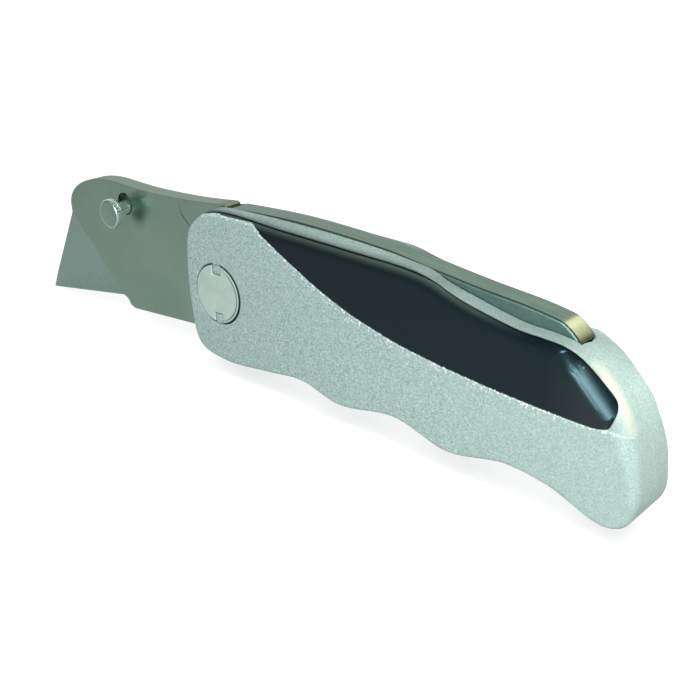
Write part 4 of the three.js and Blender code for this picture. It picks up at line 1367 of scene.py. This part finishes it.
fitted(knurled_button(), "button", BUTTON_STEEL, "release_button", 50)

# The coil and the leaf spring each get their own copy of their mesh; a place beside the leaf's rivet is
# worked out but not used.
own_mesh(COIL)
tuple(metres(LEAF_RIVET[0] + 1.5, CARRIER_HALF + 0.2, LEAF_RIVET[1]))
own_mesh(LEAF)

KEPT_FINISHES = {
    "near_washer": BRASS, "far_washer": BRASS, "stop_pin": PIN_STEEL, "lock_pin": PIN_STEEL,
    "blade_stop": SPRING_STEEL, "latch_plate": SPRING_STEEL,
}
for node, finish in KEPT_FINISHES.items():
    frame["nodes"][node].data.materials.clear()
    frame["nodes"][node].data.materials.append(finish)


# ------------------------------------------------------------ floor, light and camera
def floor():
    """A pale floor just under the knife."""
    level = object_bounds()[0][2] - 0.0004
    corners = [(x, y, level) for x, y in ((-3, -3), (3, -3), (3, 3), (-3, 3))]
    plane = mesh_piece("floor", corners, [(0, 1, 2, 3)])
    finish = Finish("pale_floor")
    seen = finish.node("ShaderNodeLightPath", output="Is Camera Ray")
    matt = finish.node("ShaderNodeBsdfDiffuse", {"Color": (0.45, 0.45, 0.45, 1)})
    white = finish.node("ShaderNodeEmission", {"Color": (1, 1, 1, 1), "Strength": 0.69})
    lit = finish.node("ShaderNodeAddShader", {0: matt, 1: white})
    shown = finish.node("ShaderNodeMixShader", {0: seen, 1: matt, 2: lit})
    finish.node("ShaderNodeOutputMaterial", {"Surface": shown})
    plane.data.materials.append(finish.owner)
    plane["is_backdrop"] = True


def world(strength, mirrored):
    """An even pale surround, dimmer in reflections than the light it sheds."""
    finish = Finish("surround", "worlds")

    def shade(colour, level):
        return finish.node("ShaderNodeBackground", {"Color": colour, "Strength": level})

    light = shade((0.95, 0.98, 1.0, 1), strength)
    in_mirrors = shade((0.9, 1.0, 0.97, 1), mirrored)
    behind = shade((1, 1, 1, 1), 1)
    rays = finish.node("ShaderNodeLightPath")
    for ray, other in (("Is Glossy Ray", in_mirrors), ("Is Camera Ray", behind)):
        light = finish.node("ShaderNodeMixShader", {0: rays.output(ray), 1: light, 2: other})
    finish.node("ShaderNodeOutputWorld", {"Surface": light})
    bpy.context.scene.world = finish.owner


def softbox(name, aim, direction, distance, size, radiance, colour, mirrored=True, shed=True):
    """A square lamp that faces a place on the knife; radiance is how bright it looks."""
    lamp = bpy.data.lights.new(name, "AREA")
    lamp.shape = "SQUARE"
    lamp.size = size
    lamp.energy = radiance * math.pi * size * size
    lamp.color = colour
    lamp_object = bpy.data.objects.new(name, lamp)
    lamp_object.visible_glossy = mirrored
    lamp_object.visible_diffuse = shed
    lamp_object.visible_camera = False
    bpy.context.scene.collection.objects.link(lamp_object)
    towards = Vector(direction).normalized()
    place = Matrix.Translation(metres(*aim) + towards * distance)
    lamp_object.matrix_world = place @ towards.to_track_quat("Z", "Y").to_matrix().to_4x4()


def camera():
    """The camera, its axes given as right, up and back."""
    lens = bpy.data.cameras.new("camera")
    lens.lens = 57.0
    lens.sensor_width = 36.0
    lens.clip_start = 0.01
    lens.clip_end = 20
    view = bpy.data.objects.new("camera", lens)
    bpy.context.scene.collection.objects.link(view)
    axes = Matrix(((0.7574, 0.6524, 0.0261), (-0.2942, 0.3053, 0.9057), (0.5829, -0.6937, 0.4232)))
    view.matrix_world = Matrix.Translation((0.1536, -0.1409, 0.0850)) @ axes.transposed().to_4x4()
    bpy.context.scene.camera = view


floor()
world(0.5, 0.15)
softbox("key_softbox", (40, -5.9, 0), (0.15, -0.6, 0.8), 0.7, 0.5, 3.5, (0.97, 1.0, 1.0), mirrored=False)
softbox("crown_softbox", (83, -5.5, 8), (0.0, -0.97, 0.25), 0.7, 0.3, 17.0, (0.66, 0.94, 1.0), shed=False)
softbox("spine_softbox", (20, 0, 18), (-0.58, 0.69, 0.45), 0.7, 0.7, 0.4, (0.92, 1.0, 0.96))
softbox("facet_softbox", (77, 0, 15), (0.24, 0.69, 0.68), 0.6, 0.36, 1.95, (1.0, 0.97, 0.88))
softbox("butt_softbox", (90, -4, 0), (0.45, -0.85, 0.3), 0.12, 0.055, 3.4, (0.98, 1.0, 0.98), mirrored=False)
softbox("tail_softbox", (84, 0, 9), (0.25, -0.3, 0.92), 0.12, 0.06, 20.0, (1.0, 0.95, 0.9), mirrored=False)
camera()
bpy.context.scene.view_settings.view_transform = "Standard"
